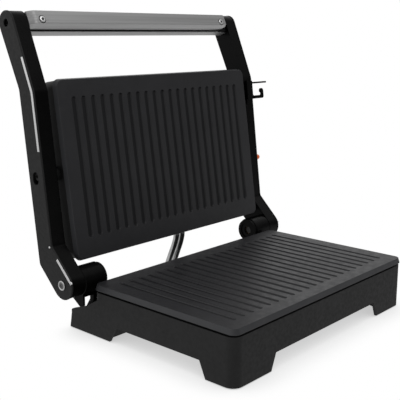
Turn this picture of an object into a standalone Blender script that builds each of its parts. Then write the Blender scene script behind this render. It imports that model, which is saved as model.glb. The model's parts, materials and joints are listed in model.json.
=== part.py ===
"""Panini press with a floating upper plate, modelled open.

Metres, +Z up. The press stands on its rubber feet at z = 0 and faces -Y. Two arms
and a handle bar make the yoke, which swings on two hinge barrels at the back of the
base. The lid hangs between the arms on two pivots, so that it can level itself.
"""

from math import atan2, cos, pi, radians, sin, tan

import bmesh
import bpy
from mathutils import Matrix, Vector

MM = 0.001
GAP = 0.3 * MM

# Base
BASE_HALF_X = 140 * MM
BODY_FRONT = -88 * MM
BODY_BACK = 88 * MM
LEDGE_BACK = 125.5 * MM
LEDGE_TOP = 17 * MM
BODY_TOP = 45.6 * MM
FOOT_CLEARANCE = 0.8 * MM
LEDGE_SLOPE = 3 * MM
SWEEP_RADIUS = 5 * MM
WALL = 2.6 * MM
CORNER_RADIUS = 10 * MM
LEDGE_CORNER = 3 * MM
CHEEK_WIDTH = 3.8 * MM
CHEEK_RISE = [
    (120.8 * MM, 19.0 * MM),
    (119.8 * MM, 20.4 * MM),
    (98.5 * MM, 27.9 * MM),
    (92.0 * MM, 31.8 * MM),
    (84.0 * MM, 36.4 * MM),
    (75.0 * MM, 41.6 * MM),
]
NOTCH_TOP = 16.4 * MM
FRONT_NOTCH_HALF = (90.2 * MM, 83.4 * MM)
SIDE_NOTCH_FRONT = (-56.5 * MM, -49.2 * MM)
SIDE_NOTCH_BACK = (65.4 * MM, 56.8 * MM)
BOTTOM_PLATE_Z = 16.9 * MM
REAR_FLOOR_Z = 2.5 * MM
SHEET = 1.8 * MM
REAR_COMPARTMENT_Y = 67 * MM
MAINS_X = -70 * MM
MAINS_Z = 10 * MM

# Rubber feet
FOOT_X = 122 * MM
FOOT_FRONT_Y = -70 * MM
FOOT_REAR_Y = 104 * MM
FRONT_POST_END = 3.3 * MM
SIDES = (("left", -1), ("right", 1))

# Hinge line, and how far the open lid and arms lean
HINGE_Y = 105.5 * MM
HINGE_Z = 52.8 * MM
LID_LEAN = radians(8.32)

# Grill plates, measured from the hinge line along the plate, cooking face at 0
PLATE_NEAR = 19 * MM
PLATE_FAR = 192 * MM
PLATE_FACE_HALF = 138.2 * MM
PLATE_DRAFT = 1.6 * MM
PLATE_SLAB = 5.6 * MM
SKIRT_INSET = 5.6 * MM
SKIRT_DEPTH = 10 * MM
GROOVE_COUNT = 21
GROOVE_PITCH = 12 * MM
GROOVE_TOP = 6.2 * MM
GROOVE_FLOOR = 3.2 * MM
GROOVE_DEPTH = 1.9 * MM
GROOVE_END_MARGIN = 17 * MM
ELEMENT_RADIUS = 3.3 * MM

# Arms, as a centre line from the hinge through the elbow and bend to the head
ARM_OUTER = 162 * MM
ARM_INNER = 145 * MM
COVER_THICKNESS = 1.8 * MM
COUNTERBORE_FLOOR = ARM_OUTER - COVER_THICKNESS - 2.2 * MM
ARM_LINE = [
    Vector((0, 0)),
    Vector((24.4, 24.4)) * MM,
    Vector((43.3, 181.0)) * MM,
    Vector((69.9, 242.8)) * MM,
]
ARM_HALF_WIDTHS = ((14.4 * MM, 14.4 * MM), (11.0 * MM, 11.0 * MM), (10.0 * MM, 11.5 * MM))
LEG_RADIUS = ARM_HALF_WIDTHS[0][0]
HEAD_RADIUS = ARM_HALF_WIDTHS[2][1]
ELBOW_FILLET = 6 * MM
BEND_FILLET = 18 * MM

# Silver trims in the arms' outer faces: heights above the hinge, and distances behind the front edge
UPPER_TRIM = (125 * MM, 212.5 * MM)
LOWER_TRIM = (5.3 * MM, 25.6 * MM)
TRIM_EDGES = (0.9 * MM, 3.9 * MM)
TRIM_SINK = 1.0 * MM
TRIM_PROUD = 0.1 * MM

# Pilot light on the right arm, as (Y, Z) from the hinge
PILOT_PLACE = (24.6 * MM, 81.5 * MM)

# Hinge barrel, and the bracket under it
BARREL_RADIUS = 14.2 * MM
BARREL_INNER_END = 119.5 * MM
BRACKET_INNER = 121 * MM
BRACKET_FIN = (137.6 * MM, 139.8 * MM)
BRACKET_FIN_FRONT = 102.4 * MM
BRACKET_EAR_Y = (102.6 * MM, 108.4 * MM)
BRACKET_STRAP_Z = 35.5 * MM
PIN_RADIUS = 4 * MM
BUSH_RADIUS = 6 * MM
BUSH_BORE = 4.3 * MM

# Handle bar, in the plane of the arms' upper part
BAR_LEAN = atan2(ARM_LINE[3].x - ARM_LINE[2].x, ARM_LINE[3].y - ARM_LINE[2].y)
BAR_FACE = Vector((55.0, 245.9)) * MM
BAR_HALF_HEIGHT = 9.5 * MM
BAR_DEPTH = 20 * MM
FRONT_COVER_DEPTH = 6 * MM
REAR_COVER_DEPTH = 10.4 * MM
BAR_SCREW_X = 130.7 * MM

# Lid
LID_PIVOT = (104.2 * MM, 19.2 * MM)
LID_SHELL_FRONT = 7.2 * MM
LID_SHELL_BACK = 34 * MM
LID_SHELL_HALF_X = 137.6 * MM
LID_PIN_RADIUS = 3 * MM
PIVOT_SLOT_DROP = 3.6 * MM

# Latch on the right arm
LATCH_HEIGHT = 165 * MM
LATCH_BLOCK_X = (148 * MM, 158.6 * MM)
LATCH_BLOCK = 22 * MM
LATCH_DEPTH = 2.4 * MM
LATCH_BAR = 3.8 * MM
LATCH_REACH = 179.4 * MM
LATCH_TIP = 12.2 * MM
GUIDE_SHEET = 0.5 * MM

# Conduits from the lid to the base, as (Y, Z) from the hinge line
CONDUIT_RADIUS = 3.2 * MM
CONDUIT_X_TOP = (14.4 * MM, 23.0 * MM)
CONDUIT_X_BOTTOM = (13.2 * MM, 24.2 * MM)
CONDUIT_LID_EXIT = (20.5 * MM, 17.3 * MM)
CONDUIT_ROUTE = [
    (19.4 * MM, 11 * MM),
    (21.9 * MM, 1.2 * MM),
    (26.7 * MM, -10.3 * MM),
    (31.6 * MM, -22 * MM),
    (35.2 * MM, -33 * MM),
    (33.2 * MM, -41 * MM),
    (26.5 * MM, -43.8 * MM),
]
CONDUIT_ENTRY_Z = 9 * MM

# The latch tab reaches past the right arm, so the box isn't centred on the base
LATCH_TAB_END = 186.6 * MM
BOLT_HEAD_END = ARM_OUTER + 1.4 * MM
FRAME_SHIFT_X = -(LATCH_TAB_END - BOLT_HEAD_END) / 2
PLATE_FRONT = HINGE_Y - PLATE_FAR - PLATE_DRAFT
HEAD_BACK = HINGE_Y + ARM_LINE[3].x + HEAD_RADIUS
FRAME_SHIFT_Y = -(PLATE_FRONT + HEAD_BACK) / 2

COLOURS = {
    "black_textured": ((0.026, 0.026, 0.027), 0.62, 0.0),
    "black_gloss": ((0.008, 0.008, 0.009), 0.22, 0.0),
    "black_hidden": ((0.02, 0.02, 0.02), 0.6, 0.0),
    "plate_coating": ((0.03, 0.03, 0.032), 0.45, 0.0),
    "satin_aluminium": ((0.46, 0.46, 0.46), 0.38, 1.0),
    "trim_silver": ((0.62, 0.62, 0.62), 0.25, 1.0),
    "steel": ((0.5, 0.5, 0.5), 0.3, 1.0),
    "element_steel": ((0.2, 0.18, 0.16), 0.45, 1.0),
    "reflector": ((0.6, 0.6, 0.6), 0.35, 1.0),
    "rubber": ((0.015, 0.015, 0.015), 0.85, 0.0),
    "lens_red": ((0.6, 0.06, 0.03), 0.15, 0.0),
    "conduit_silver": ((0.4, 0.4, 0.41), 0.35, 1.0),
    "bronze": ((0.5, 0.33, 0.15), 0.4, 1.0),
    "ceramic": ((0.8, 0.78, 0.72), 0.5, 0.0),
}


# ---------------------------------------------------------------- scene and helpers


def clear_scene():
    for obj in list(bpy.data.objects):
        bpy.data.objects.remove(obj)


def make_collection(name):
    collection = bpy.data.collections.new(name)
    bpy.context.scene.collection.children.link(collection)
    return collection


def make_material(name):
    colour, roughness, metallic = COLOURS[name]
    material = bpy.data.materials.new(name)
    material.use_nodes = True
    shader = material.node_tree.nodes["Principled BSDF"]
    shader.inputs["Base Color"].default_value = (*colour, 1)
    shader.inputs["Roughness"].default_value = roughness
    shader.inputs["Metallic"].default_value = metallic
    return material


def add_object(name, mesh, frame, material=None, location=(0, 0, 0)):
    """A part when it has a material, otherwise a cutter."""
    obj = bpy.data.objects.new(name, mesh)
    obj.parent = frame
    obj.location = location
    if material:
        mesh.materials.clear()
        mesh.materials.append(MATERIALS[material])
        PARTS.objects.link(obj)
    else:
        obj.hide_render = True
        obj.display_type = "WIRE"
        CUTTERS.objects.link(obj)
    return obj


def make_empty(name, parent, location, rotation=(0, 0, 0)):
    empty = bpy.data.objects.new(name, None)
    empty.parent = parent
    empty.location = location
    empty.rotation_euler = rotation
    PARTS.objects.link(empty)
    return empty


def bm_mesh(name, bm):
    bmesh.ops.recalc_face_normals(bm, faces=bm.faces)
    mesh = bpy.data.meshes.new(name)
    bm.to_mesh(mesh)
    bm.free()
    return mesh


def bm_box(bm, x, y, z):
    """Adds a box from its X, Y and Z ranges."""
    made = bmesh.ops.create_cube(bm, size=1)["verts"]
    size = Vector((x[1] - x[0], y[1] - y[0], z[1] - z[0]))
    middle = Vector((x[0] + x[1], y[0] + y[1], z[0] + z[1])) / 2
    bmesh.ops.scale(bm, vec=size, verts=made)
    bmesh.ops.translate(bm, vec=middle, verts=made)
    return made


def bm_rod(bm, centre, axis, length, radius, segments=24, end_radius=None):
    """Adds a cylinder or cone, centred, along a principal axis."""
    turn = {"X": Matrix.Rotation(pi / 2, 4, "Y"), "Y": Matrix.Rotation(-pi / 2, 4, "X"), "Z": Matrix()}
    made = bmesh.ops.create_cone(
        bm,
        cap_ends=True,
        segments=segments,
        radius1=radius,
        radius2=radius if end_radius is None else end_radius,
        depth=length,
        matrix=Matrix.Translation(centre) @ turn[axis],
    )
    return made["verts"]


def box(name, x, y, z, frame, material=None):
    bm = bmesh.new()
    bm_box(bm, x, y, z)
    return add_object(name, bm_mesh(name, bm), frame, material)


def rod(name, centre, axis, length, radius, frame, material=None, segments=24, end_radius=None):
    bm = bmesh.new()
    bm_rod(bm, centre, axis, length, radius, segments, end_radius)
    return add_object(name, bm_mesh(name, bm), frame, material)


def bevel_where(mesh, chosen, width, segments=2):
    """Rounds the mesh's edges for which chosen(start, end) is true."""
    bm = bmesh.new()
    bm.from_mesh(mesh)
    edges = [edge for edge in bm.edges if chosen(edge.verts[0].co, edge.verts[1].co)]
    bmesh.ops.bevel(
        bm, geom=edges, offset=width, segments=segments, profile=0.5, affect="EDGES", clamp_overlap=True
    )
    bm.to_mesh(mesh)
    bm.free()


def outline_mesh(name, points, thickness, across="X"):
    """A flat outline, extruded both ways along X (points are Y, Z) or along Y (points are X, Z)
    or along Z (points are X, Y)."""
    curve = bpy.data.curves.new(name, "CURVE")
    curve.dimensions = "2D"
    curve.fill_mode = "BOTH"
    curve.extrude = thickness / 2
    spline = curve.splines.new("POLY")
    spline.points.add(len(points) - 1)
    for point, place in zip(spline.points, points):
        point.co = (place[0], place[1], 0, 1)
    spline.use_cyclic_u = True
    holder = bpy.data.objects.new(name, curve)
    CUTTERS.objects.link(holder)
    bpy.context.view_layer.update()
    evaluated = holder.evaluated_get(bpy.context.evaluated_depsgraph_get())
    mesh = bpy.data.meshes.new_from_object(evaluated)
    bpy.data.objects.remove(holder)
    bpy.data.curves.remove(curve)
    turn = {
        "X": Matrix(((0, 0, 1, 0), (1, 0, 0, 0), (0, 1, 0, 0), (0, 0, 0, 1))),
        "Y": Matrix(((1, 0, 0, 0), (0, 0, -1, 0), (0, 1, 0, 0), (0, 0, 0, 1))),
        "Z": Matrix(),
    }[across]
    bm = bmesh.new()
    bm.from_mesh(mesh)
    bpy.data.meshes.remove(mesh)
    bmesh.ops.remove_doubles(bm, verts=bm.verts, dist=0.00001)
    bmesh.ops.dissolve_limit(bm, angle_limit=radians(0.5), verts=bm.verts, edges=bm.edges)
    bmesh.ops.transform(bm, matrix=turn, verts=bm.verts)
    return bm_mesh(name, bm)


def plate_part(name, points, thickness, centre, frame, material=None, across="X"):
    mesh = outline_mesh(name, points, thickness, across)
    return add_object(name, mesh, frame, material, centre)


def turned(name, profile, centre, frame, material=None, axis="X", steps=28):
    """A ring turned from a profile of (radius, height), given outer side first, top to bottom."""
    bm = bmesh.new()
    corners = [bm.verts.new((radius, 0, height)) for radius, height in profile]
    for first, second in zip(corners, corners[1:] + corners[:1]):
        if first.co.x > 0 or second.co.x > 0:
            bm.edges.new((first, second))
    mesh = bpy.data.meshes.new(name)
    bm.to_mesh(mesh)
    bm.free()
    obj = add_object(name, mesh, frame, material, centre)
    obj.rotation_euler = {"X": (0, pi / 2, 0), "Y": (-pi / 2, 0, 0), "Z": (0, 0, 0)}[axis]
    screw = obj.modifiers.new("turn", "SCREW")
    screw.axis = "Z"
    screw.steps = steps
    screw.render_steps = steps
    screw.use_merge_vertices = True
    screw.merge_threshold = 0.00001
    return obj


def tube(name, points, radius, frame, material):
    """A wire or pipe along points, 8 sided."""
    curve = bpy.data.curves.new(name, "CURVE")
    curve.dimensions = "3D"
    curve.bevel_depth = radius
    curve.bevel_resolution = 2
    curve.use_fill_caps = True
    spline = curve.splines.new("POLY")
    spline.points.add(len(points) - 1)
    for point, place in zip(spline.points, points):
        point.co = (*place, 1)
    obj = bpy.data.objects.new(name, curve)
    obj.parent = frame
    curve.materials.append(MATERIALS[material])
    PARTS.objects.link(obj)
    return obj


def combine(obj, other, operation):
    """Cuts obj with other, or joins other to it. The other object stays a helper."""
    modifier = obj.modifiers.new(other.name, "BOOLEAN")
    modifier.operation = operation
    modifier.solver = "EXACT"
    modifier.object = other


def cut(obj, cutter):
    combine(obj, cutter, "DIFFERENCE")


def join(obj, addition):
    combine(obj, addition, "UNION")


def arc(centre, radius, start, end, steps):
    return [
        Vector((centre[0] + radius * cos(start + (end - start) * i / steps),
                centre[1] + radius * sin(start + (end - start) * i / steps)))
        for i in range(steps + 1)
    ]


def fillet(before, corner, after, radius, steps=4):
    """The arc that rounds a corner of an outline."""
    first = (before - corner).normalized()
    second = (after - corner).normalized()
    half = first.angle(second) / 2
    reach = radius / tan(half)
    centre = corner + (first + second).normalized() * radius / sin(half)
    begin = corner + first * reach - centre
    finish = corner + second * reach - centre
    start = atan2(begin.y, begin.x)
    sweep = atan2(finish.y, finish.x) - start
    sweep = (sweep + pi) % (2 * pi) - pi
    return arc(centre, radius, start, start + sweep, steps)


def meet(point_a, along_a, point_b, along_b):
    """Where two lines cross."""
    cross = along_a.x * along_b.y - along_a.y * along_b.x
    gap = point_b - point_a
    return point_a + along_a * ((gap.x * along_b.y - gap.y * along_b.x) / cross)


def spline_points(controls, count):
    """Points evenly spread in parameter along a Catmull-Rom curve through the controls."""
    padded = [controls[0] * 2 - controls[1], *controls, controls[-1] * 2 - controls[-2]]
    points = []
    for i in range(count + 1):
        place = i / count * (len(controls) - 1)
        k = min(int(place), len(controls) - 2)
        t = place - k
        a, b, c, d = padded[k : k + 4]
        points.append(
            (2 * b + (c - a) * t + (2 * a - 5 * b + 4 * c - d) * t**2 + (3 * b - a - 3 * c + d) * t**3) / 2
        )
    return points


# ---------------------------------------------------------------- base


def rounded_slab(name, half_x, y, z, radius, frame, material=None, rear_slope=0.0):
    """An upright block with rounded corners. The top of its rear wall leans in by rear_slope."""
    corners = (
        (half_x - radius, y[0] + radius, -pi / 2),
        (half_x - radius, y[1] - radius, 0),
        (radius - half_x, y[1] - radius, pi / 2),
        (radius - half_x, y[0] + radius, pi),
    )
    points = []
    for centre_x, centre_y, start in corners:
        points += arc((centre_x, centre_y), radius, start, start + pi / 2, 5)
    mesh = outline_mesh(name, points, z[1] - z[0], "Z")
    for vertex in mesh.vertices:
        if vertex.co.z > 0 and vertex.co.y > (y[0] + y[1]) / 2:
            vertex.co.y -= rear_slope
    return add_object(name, mesh, frame, material, (0, 0, (z[0] + z[1]) / 2))


def base_housing(frame):
    floor = FOOT_CLEARANCE
    body = (BODY_FRONT, BODY_BACK)
    ledge = (BODY_BACK - 30 * MM, LEDGE_BACK)
    housing = rounded_slab(
        "base_housing", BASE_HALF_X, body, (floor, BODY_TOP), CORNER_RADIUS, frame, "black_textured"
    )
    join(housing, rounded_slab("base_ledge", BASE_HALF_X, ledge, (floor, LEDGE_TOP), LEDGE_CORNER, frame,
                               rear_slope=LEDGE_SLOPE))
    sweep = [
        (BODY_BACK - 2 * MM, LEDGE_TOP - 1 * MM),
        (BODY_BACK + SWEEP_RADIUS, LEDGE_TOP - 1 * MM),
        *reversed(arc((BODY_BACK + SWEEP_RADIUS, LEDGE_TOP + SWEEP_RADIUS), SWEEP_RADIUS, pi, 1.5 * pi, 4)),
        (BODY_BACK - 2 * MM, LEDGE_TOP + SWEEP_RADIUS),
    ]
    join(housing, plate_part("base_sweep", sweep, 2 * (BASE_HALF_X - CORNER_RADIUS), (0, 0, 0), frame))
    low = LEDGE_TOP - 2 * MM
    cheek = [(CHEEK_RISE[-1][0], low), (CHEEK_RISE[0][0], low), *CHEEK_RISE]
    for side, sign in SIDES:
        middle = (sign * (BASE_HALF_X - CHEEK_WIDTH / 2), 0, 0)
        join(housing, plate_part(f"base_cheek_{side}", cheek, CHEEK_WIDTH, middle, frame))
    inner_half = BASE_HALF_X - WALL
    inner_radius = CORNER_RADIUS - WALL
    body_hollow = (BODY_FRONT + WALL, BODY_BACK - WALL)
    body_room = (-5 * MM, 60 * MM)
    cut(housing, rounded_slab("base_cavity", inner_half, body_hollow, body_room, inner_radius, frame))
    ledge_hollow = (ledge[0], LEDGE_BACK - WALL - LEDGE_SLOPE)
    ledge_room = (-5 * MM, LEDGE_TOP - WALL)
    ledge_half = inner_half - 1 * MM
    cut(housing, rounded_slab("ledge_cavity", ledge_half, ledge_hollow, ledge_room, inner_radius / 2, frame))
    below = FOOT_CLEARANCE - 1 * MM
    low, high = FRONT_NOTCH_HALF
    front_notch = [(-low, below), (low, below), (high, NOTCH_TOP), (-high, NOTCH_TOP)]
    front_middle = (0, BODY_FRONT, 0)
    cut(housing, plate_part("front_notch", front_notch, 20 * MM, front_middle, frame, across="Y"))
    side_notch = [
        (SIDE_NOTCH_FRONT[0], below),
        (SIDE_NOTCH_BACK[0], below),
        (SIDE_NOTCH_BACK[1], NOTCH_TOP),
        (SIDE_NOTCH_FRONT[1], NOTCH_TOP),
    ]
    cut(housing, plate_part("side_notch", side_notch, 3 * BASE_HALF_X, (0, 0, 0), frame))
    for i, x in enumerate(CONDUIT_X_BOTTOM):
        hole = rod(f"conduit_hole_{i}", (x, LEDGE_BACK, CONDUIT_ENTRY_Z), "Y", 20 * MM, 4.1 * MM, frame)
        cut(housing, hole)
    mains = rod("mains_hole", (MAINS_X, LEDGE_BACK, MAINS_Z), "Y", 20 * MM, 5.5 * MM, frame)
    cut(housing, mains)
    return housing


def base_bottom(frame):
    """The sheet that closes the base: low behind, where the terminals are, and high in front."""
    front = BODY_FRONT + WALL + 0.6 * MM
    back = LEDGE_BACK - WALL - LEDGE_SLOPE - 0.6 * MM
    wall = REAR_COMPARTMENT_Y
    profile = [
        (front, BOTTOM_PLATE_Z),
        (wall, BOTTOM_PLATE_Z),
        (wall, REAR_FLOOR_Z),
        (back, REAR_FLOOR_Z),
        (back, REAR_FLOOR_Z + SHEET),
        (wall + SHEET, REAR_FLOOR_Z + SHEET),
        (wall + SHEET, BOTTOM_PLATE_Z + SHEET),
        (front, BOTTOM_PLATE_Z + SHEET),
    ]
    half = BASE_HALF_X - WALL - 1.4 * MM
    mesh = outline_mesh("base_bottom_plate", profile, 2 * half)

    def outer_corner(a, b):
        at_side = abs(abs(a.x) - half) < 1e-6 and abs(a.x - b.x) < 1e-6
        at_end = min(abs(a.y - front), abs(a.y - back)) < 1e-6
        return at_side and at_end and abs(a.y - b.y) < 1e-6

    bevel_where(mesh, outer_corner, 8 * MM, 3)
    plate = add_object("base_bottom_plate", mesh, frame, "black_hidden")
    for side, x in SIDES:
        post_height = BOTTOM_PLATE_Z + SHEET / 2 - FRONT_POST_END
        middle = (x * FOOT_X, FOOT_FRONT_Y, FRONT_POST_END + post_height / 2)
        join(plate, rod(f"foot_post_{side}", middle, "Z", post_height, 9 * MM, frame))


def rubber_feet(frame):
    for side, x in SIDES:
        for where, y, top in (
            ("front", FOOT_FRONT_Y, FRONT_POST_END - GAP),
            ("rear", FOOT_REAR_Y, REAR_FLOOR_Z - GAP),
        ):
            name = f"rubber_foot_{where}_{side}"
            rod(name, (x * FOOT_X, y, top / 2), "Z", top, 8 * MM, frame, "rubber", 24, 8 * MM)


def base_electrics(frame):
    terminals = box(
        "terminal_block",
        (-50 * MM, -16 * MM),
        (84 * MM, 98 * MM),
        (REAR_FLOOR_Z + SHEET + GAP, REAR_FLOOR_Z + SHEET + 9 * MM),
        frame,
        "ceramic",
    )
    bevel_where(terminals.data, lambda a, b: a.z > 8 * MM and b.z > 8 * MM, 1 * MM, 1)
    outside = LEDGE_BACK + GAP
    collar = [(7 * MM, 4 * MM), (7 * MM, 0), (3.4 * MM, 0)]
    sleeve = [(3.4 * MM, 15 * MM), (5 * MM, 15 * MM), (5.6 * MM, 4 * MM)]
    turned(
        "mains_gland",
        collar + sleeve,
        (MAINS_X, outside, MAINS_Z),
        frame,
        "black_hidden",
        "Y",
        20,
    )
    ring = [(5.2 * MM, 2.2 * MM), (5.2 * MM, 0), (CONDUIT_RADIUS + GAP, 0), (CONDUIT_RADIUS + GAP, 2.2 * MM)]
    for side, x in zip(("a", "b"), CONDUIT_X_BOTTOM):
        turned(
            f"conduit_gland_base_{side}",
            ring,
            (x, outside, CONDUIT_ENTRY_Z),
            frame,
            "black_hidden",
            "Y",
            16,
        )


# ---------------------------------------------------------------- grill plates, both the same


def grill_plate(name, frame):
    """Ribbed plate: x across, y away from the hinge line, cooking face up at z = 0."""
    bm = bmesh.new()
    rim_half = PLATE_FACE_HALF + PLATE_DRAFT
    near = PLATE_NEAR - PLATE_DRAFT
    far = PLATE_FAR + PLATE_DRAFT
    corners = bm_box(bm, (-rim_half, rim_half), (near, far), (-PLATE_SLAB, 0))
    middle_y = (near + far) / 2
    for vert in corners:
        if vert.co.z > -PLATE_SLAB / 2:
            vert.co.x -= PLATE_DRAFT if vert.co.x > 0 else -PLATE_DRAFT
            vert.co.y -= PLATE_DRAFT if vert.co.y > middle_y else -PLATE_DRAFT
    mesh = bm_mesh(name, bm)
    bevel_where(mesh, lambda a, b: abs(a.z - b.z) > PLATE_SLAB / 2, CORNER_RADIUS, 4)
    plate = add_object(name, mesh, frame, "plate_coating")
    inset = SKIRT_INSET
    skirt = box(
        f"{name}_skirt",
        (-rim_half + inset, rim_half - inset),
        (near + inset, far - inset),
        (-SKIRT_DEPTH, -PLATE_SLAB / 2),
        frame,
    )
    bevel_where(skirt.data, lambda a, b: abs(a.z - b.z) > 2 * MM, 4 * MM, 2)
    join(plate, skirt)
    hollow = box(
        f"{name}_hollow",
        (-rim_half + inset + 3 * MM, rim_half - inset - 3 * MM),
        (near + inset + 3 * MM, far - inset - 3 * MM),
        (-SKIRT_DEPTH - 5 * MM, -PLATE_SLAB),
        frame,
    )
    cut(plate, hollow)
    bm = bmesh.new()
    for i in range(GROOVE_COUNT):
        x = (i - (GROOVE_COUNT - 1) / 2) * GROOVE_PITCH
        ends = (PLATE_NEAR + GROOVE_END_MARGIN, PLATE_FAR - GROOVE_END_MARGIN)
        made = bm_box(bm, (x - GROOVE_TOP / 2, x + GROOVE_TOP / 2), ends, (-GROOVE_DEPTH, GROOVE_DEPTH))
        for vert in made:
            if vert.co.z < 0:
                vert.co.x = x + GROOVE_FLOOR / 2 * (1 if vert.co.x > x else -1)
                vert.co.y += 1 * MM if vert.co.y < middle_y else -1 * MM
    cut(plate, add_object(f"{name}_grooves", bm_mesh(f"{name}_grooves", bm), frame))
    return plate


def heating_parts(prefix, frame):
    """The sheathed element under a plate, the tray that reflects its heat, and the thermostat."""
    level = -PLATE_SLAB - GAP - ELEMENT_RADIUS
    near, far = PLATE_NEAR + 24 * MM, PLATE_FAR - 22 * MM
    half = 108 * MM
    bend = 22 * MM
    start = Vector((-18 * MM, near))
    route = [
        start,
        *fillet(start, Vector((-half, near)), Vector((-half, far)), bend, 5),
        *fillet(Vector((-half, near)), Vector((-half, far)), Vector((half, far)), bend, 5),
        *fillet(Vector((-half, far)), Vector((half, far)), Vector((half, near)), bend, 5),
        *fillet(Vector((half, far)), Vector((half, near)), Vector((18 * MM, near)), bend, 5),
        Vector((18 * MM, near)),
    ]
    points = [(point.x, point.y, level) for point in route]
    tube(f"{prefix}_heating_element", points, ELEMENT_RADIUS, frame, "element_steel")
    tray_top = -PLATE_SLAB - 2 * ELEMENT_RADIUS - 1 * MM
    tray = [
        (PLATE_NEAR + 12 * MM, tray_top),
        (PLATE_NEAR + 14 * MM, tray_top - 3.4 * MM),
        (PLATE_FAR - 14 * MM, tray_top - 3.4 * MM),
        (PLATE_FAR - 12 * MM, tray_top),
        (PLATE_FAR - 13.2 * MM, tray_top),
        (PLATE_FAR - 15 * MM, tray_top - 2.4 * MM),
        (PLATE_NEAR + 15 * MM, tray_top - 2.4 * MM),
        (PLATE_NEAR + 13.2 * MM, tray_top),
    ]
    reflector = plate_part(f"{prefix}_heat_reflector", tray, 236 * MM, (0, 0, 0), frame, "reflector")
    port = rod(f"{prefix}_thermostat_port", (0, 100 * MM, tray_top), "Z", 12 * MM, 9.6 * MM, frame)
    cut(reflector, port)
    top = -PLATE_SLAB - GAP
    stem = [(7 * MM, top), (7 * MM, -13.2 * MM)]
    cup = [(9 * MM, -13.2 * MM), (9 * MM, -18 * MM), (2 * MM, -18 * MM), (2 * MM, top)]
    thermostat = turned(
        f"{prefix}_thermostat",
        stem + cup,
        (0, 100 * MM, 0),
        frame,
        "steel",
        "Z",
        20,
    )
    return thermostat


# ---------------------------------------------------------------- hinges


def cheek_height(y):
    """Height of the base's side wall at y, behind the body."""
    for (rear, low), (front, high) in zip(CHEEK_RISE[1:], CHEEK_RISE[2:]):
        if front <= y <= rear:
            return low + (high - low) * (rear - y) / (rear - front)
    return LEDGE_TOP


def hinge_bracket(side, sign, base):
    """Carries a barrel: a fin on the base's side wall, an ear on the ledge and a strap between them."""
    fin_front = BRACKET_FIN_FRONT
    foot = 107.8 * MM
    fin = [
        (fin_front, cheek_height(fin_front) + GAP),
        (foot, cheek_height(foot) + GAP),
        (118.2 * MM, 31.9 * MM),
        (118.8 * MM, 42.5 * MM),
        (fin_front, 42.5 * MM),
    ]
    fin_middle = (sign * sum(BRACKET_FIN) / 2, 0, 0)
    bracket = plate_part(
        f"hinge_bracket_{side}", fin, BRACKET_FIN[1] - BRACKET_FIN[0], fin_middle, base, "black_gloss"
    )
    strap_x = sorted((sign * BRACKET_INNER, sign * (BRACKET_FIN[1] - 0.6 * MM)))
    join(bracket, box(f"bracket_strap_{side}", strap_x, BRACKET_EAR_Y, (BRACKET_STRAP_Z, 44 * MM), base))
    ear = [
        (BRACKET_INNER, LEDGE_TOP + GAP),
        (135.5 * MM, LEDGE_TOP + GAP),
        (131.8 * MM, 23.2 * MM),
        (126.6 * MM, 30 * MM),
        (126.6 * MM, 43 * MM),
        (BRACKET_INNER, 43 * MM),
    ]
    if sign < 0:
        ear = [(-x, z) for x, z in reversed(ear)]
    ear_depth = BRACKET_EAR_Y[1] - BRACKET_EAR_Y[0] - 0.2 * MM
    ear_middle = (0, sum(BRACKET_EAR_Y) / 2, 0)
    join(bracket, plate_part(f"bracket_ear_{side}", ear, ear_depth, ear_middle, base, across="Y"))
    axis_place = (sign * BRACKET_INNER, HINGE_Y, HINGE_Z)
    cut(bracket, rod(f"saddle_{side}", axis_place, "X", 60 * MM, BARREL_RADIUS + GAP, base, segments=40))


def hinge_side(side, sign, base, yoke):
    """One hinge: bracket, barrel, bush, pin and end cap on the base, and the bolt on the arm."""
    hinge_bracket(side, sign, base)
    outer_end = ARM_INNER - GAP
    middle = (BARREL_INNER_END + outer_end) / 2
    length = outer_end - BARREL_INNER_END
    axis_place = (sign * middle, HINGE_Y, HINGE_Z)

    barrel = rod(f"hinge_barrel_{side}", axis_place, "X", length, BARREL_RADIUS, base, "black_gloss", 40)
    bevel_where(barrel.data, lambda a, b: abs(a.x - b.x) < 1e-6, 0.8 * MM, 1)
    cut(barrel, rod(f"barrel_bore_{side}", axis_place, "X", 60 * MM, BUSH_RADIUS + GAP, base, segments=28))

    half = length / 2 - 0.8 * MM
    bush_ring = [(BUSH_RADIUS, half), (BUSH_RADIUS, -half), (BUSH_BORE, -half), (BUSH_BORE, half)]
    turned(f"hinge_bush_{side}", bush_ring, axis_place, base, "bronze", "X", 24)

    pin_outer = ARM_OUTER - COVER_THICKNESS - GAP - 1 * MM
    pin_inner = BARREL_INNER_END + 0.5 * MM
    pin_middle = (sign * (pin_outer + pin_inner) / 2, HINGE_Y, HINGE_Z)
    rod(f"hinge_pin_{side}", pin_middle, "X", pin_outer - pin_inner, PIN_RADIUS, base, "steel", 20)

    cap = [
        (BARREL_RADIUS - 1 * MM, 1.2 * MM),
        (BARREL_RADIUS - 1 * MM, -0.9 * MM),
        (4.6 * MM, -0.9 * MM),
        (4.6 * MM, 0.2 * MM),
        (9.2 * MM, 0.2 * MM),
        (9.2 * MM, 1.2 * MM),
    ]
    if sign > 0:
        cap = [(radius, -height) for radius, height in reversed(cap)]
    cap_x = sign * (BARREL_INNER_END - GAP - 0.9 * MM)
    turned(f"hinge_cap_{side}", cap, (cap_x, HINGE_Y, HINGE_Z), base, "black_gloss", "X", 32)

    head_x = sign * (ARM_OUTER + GAP + 0.55 * MM)
    bolt = rod(f"hinge_bolt_{side}", (head_x, 0, 0), "X", 1.1 * MM, 4.6 * MM, yoke, "steel", 24)
    shank_x = sign * (ARM_OUTER - 0.4 * MM)
    join(bolt, rod(f"bolt_shank_{side}", (shank_x, 0, 0), "X", 2.4 * MM, 2.4 * MM, yoke, segments=12))
    socket_x = sign * (ARM_OUTER + 1.4 * MM)
    cut(bolt, rod(f"bolt_socket_{side}", (socket_x, 0, 0), "X", 1.6 * MM, 2.3 * MM, yoke, segments=6))


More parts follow.
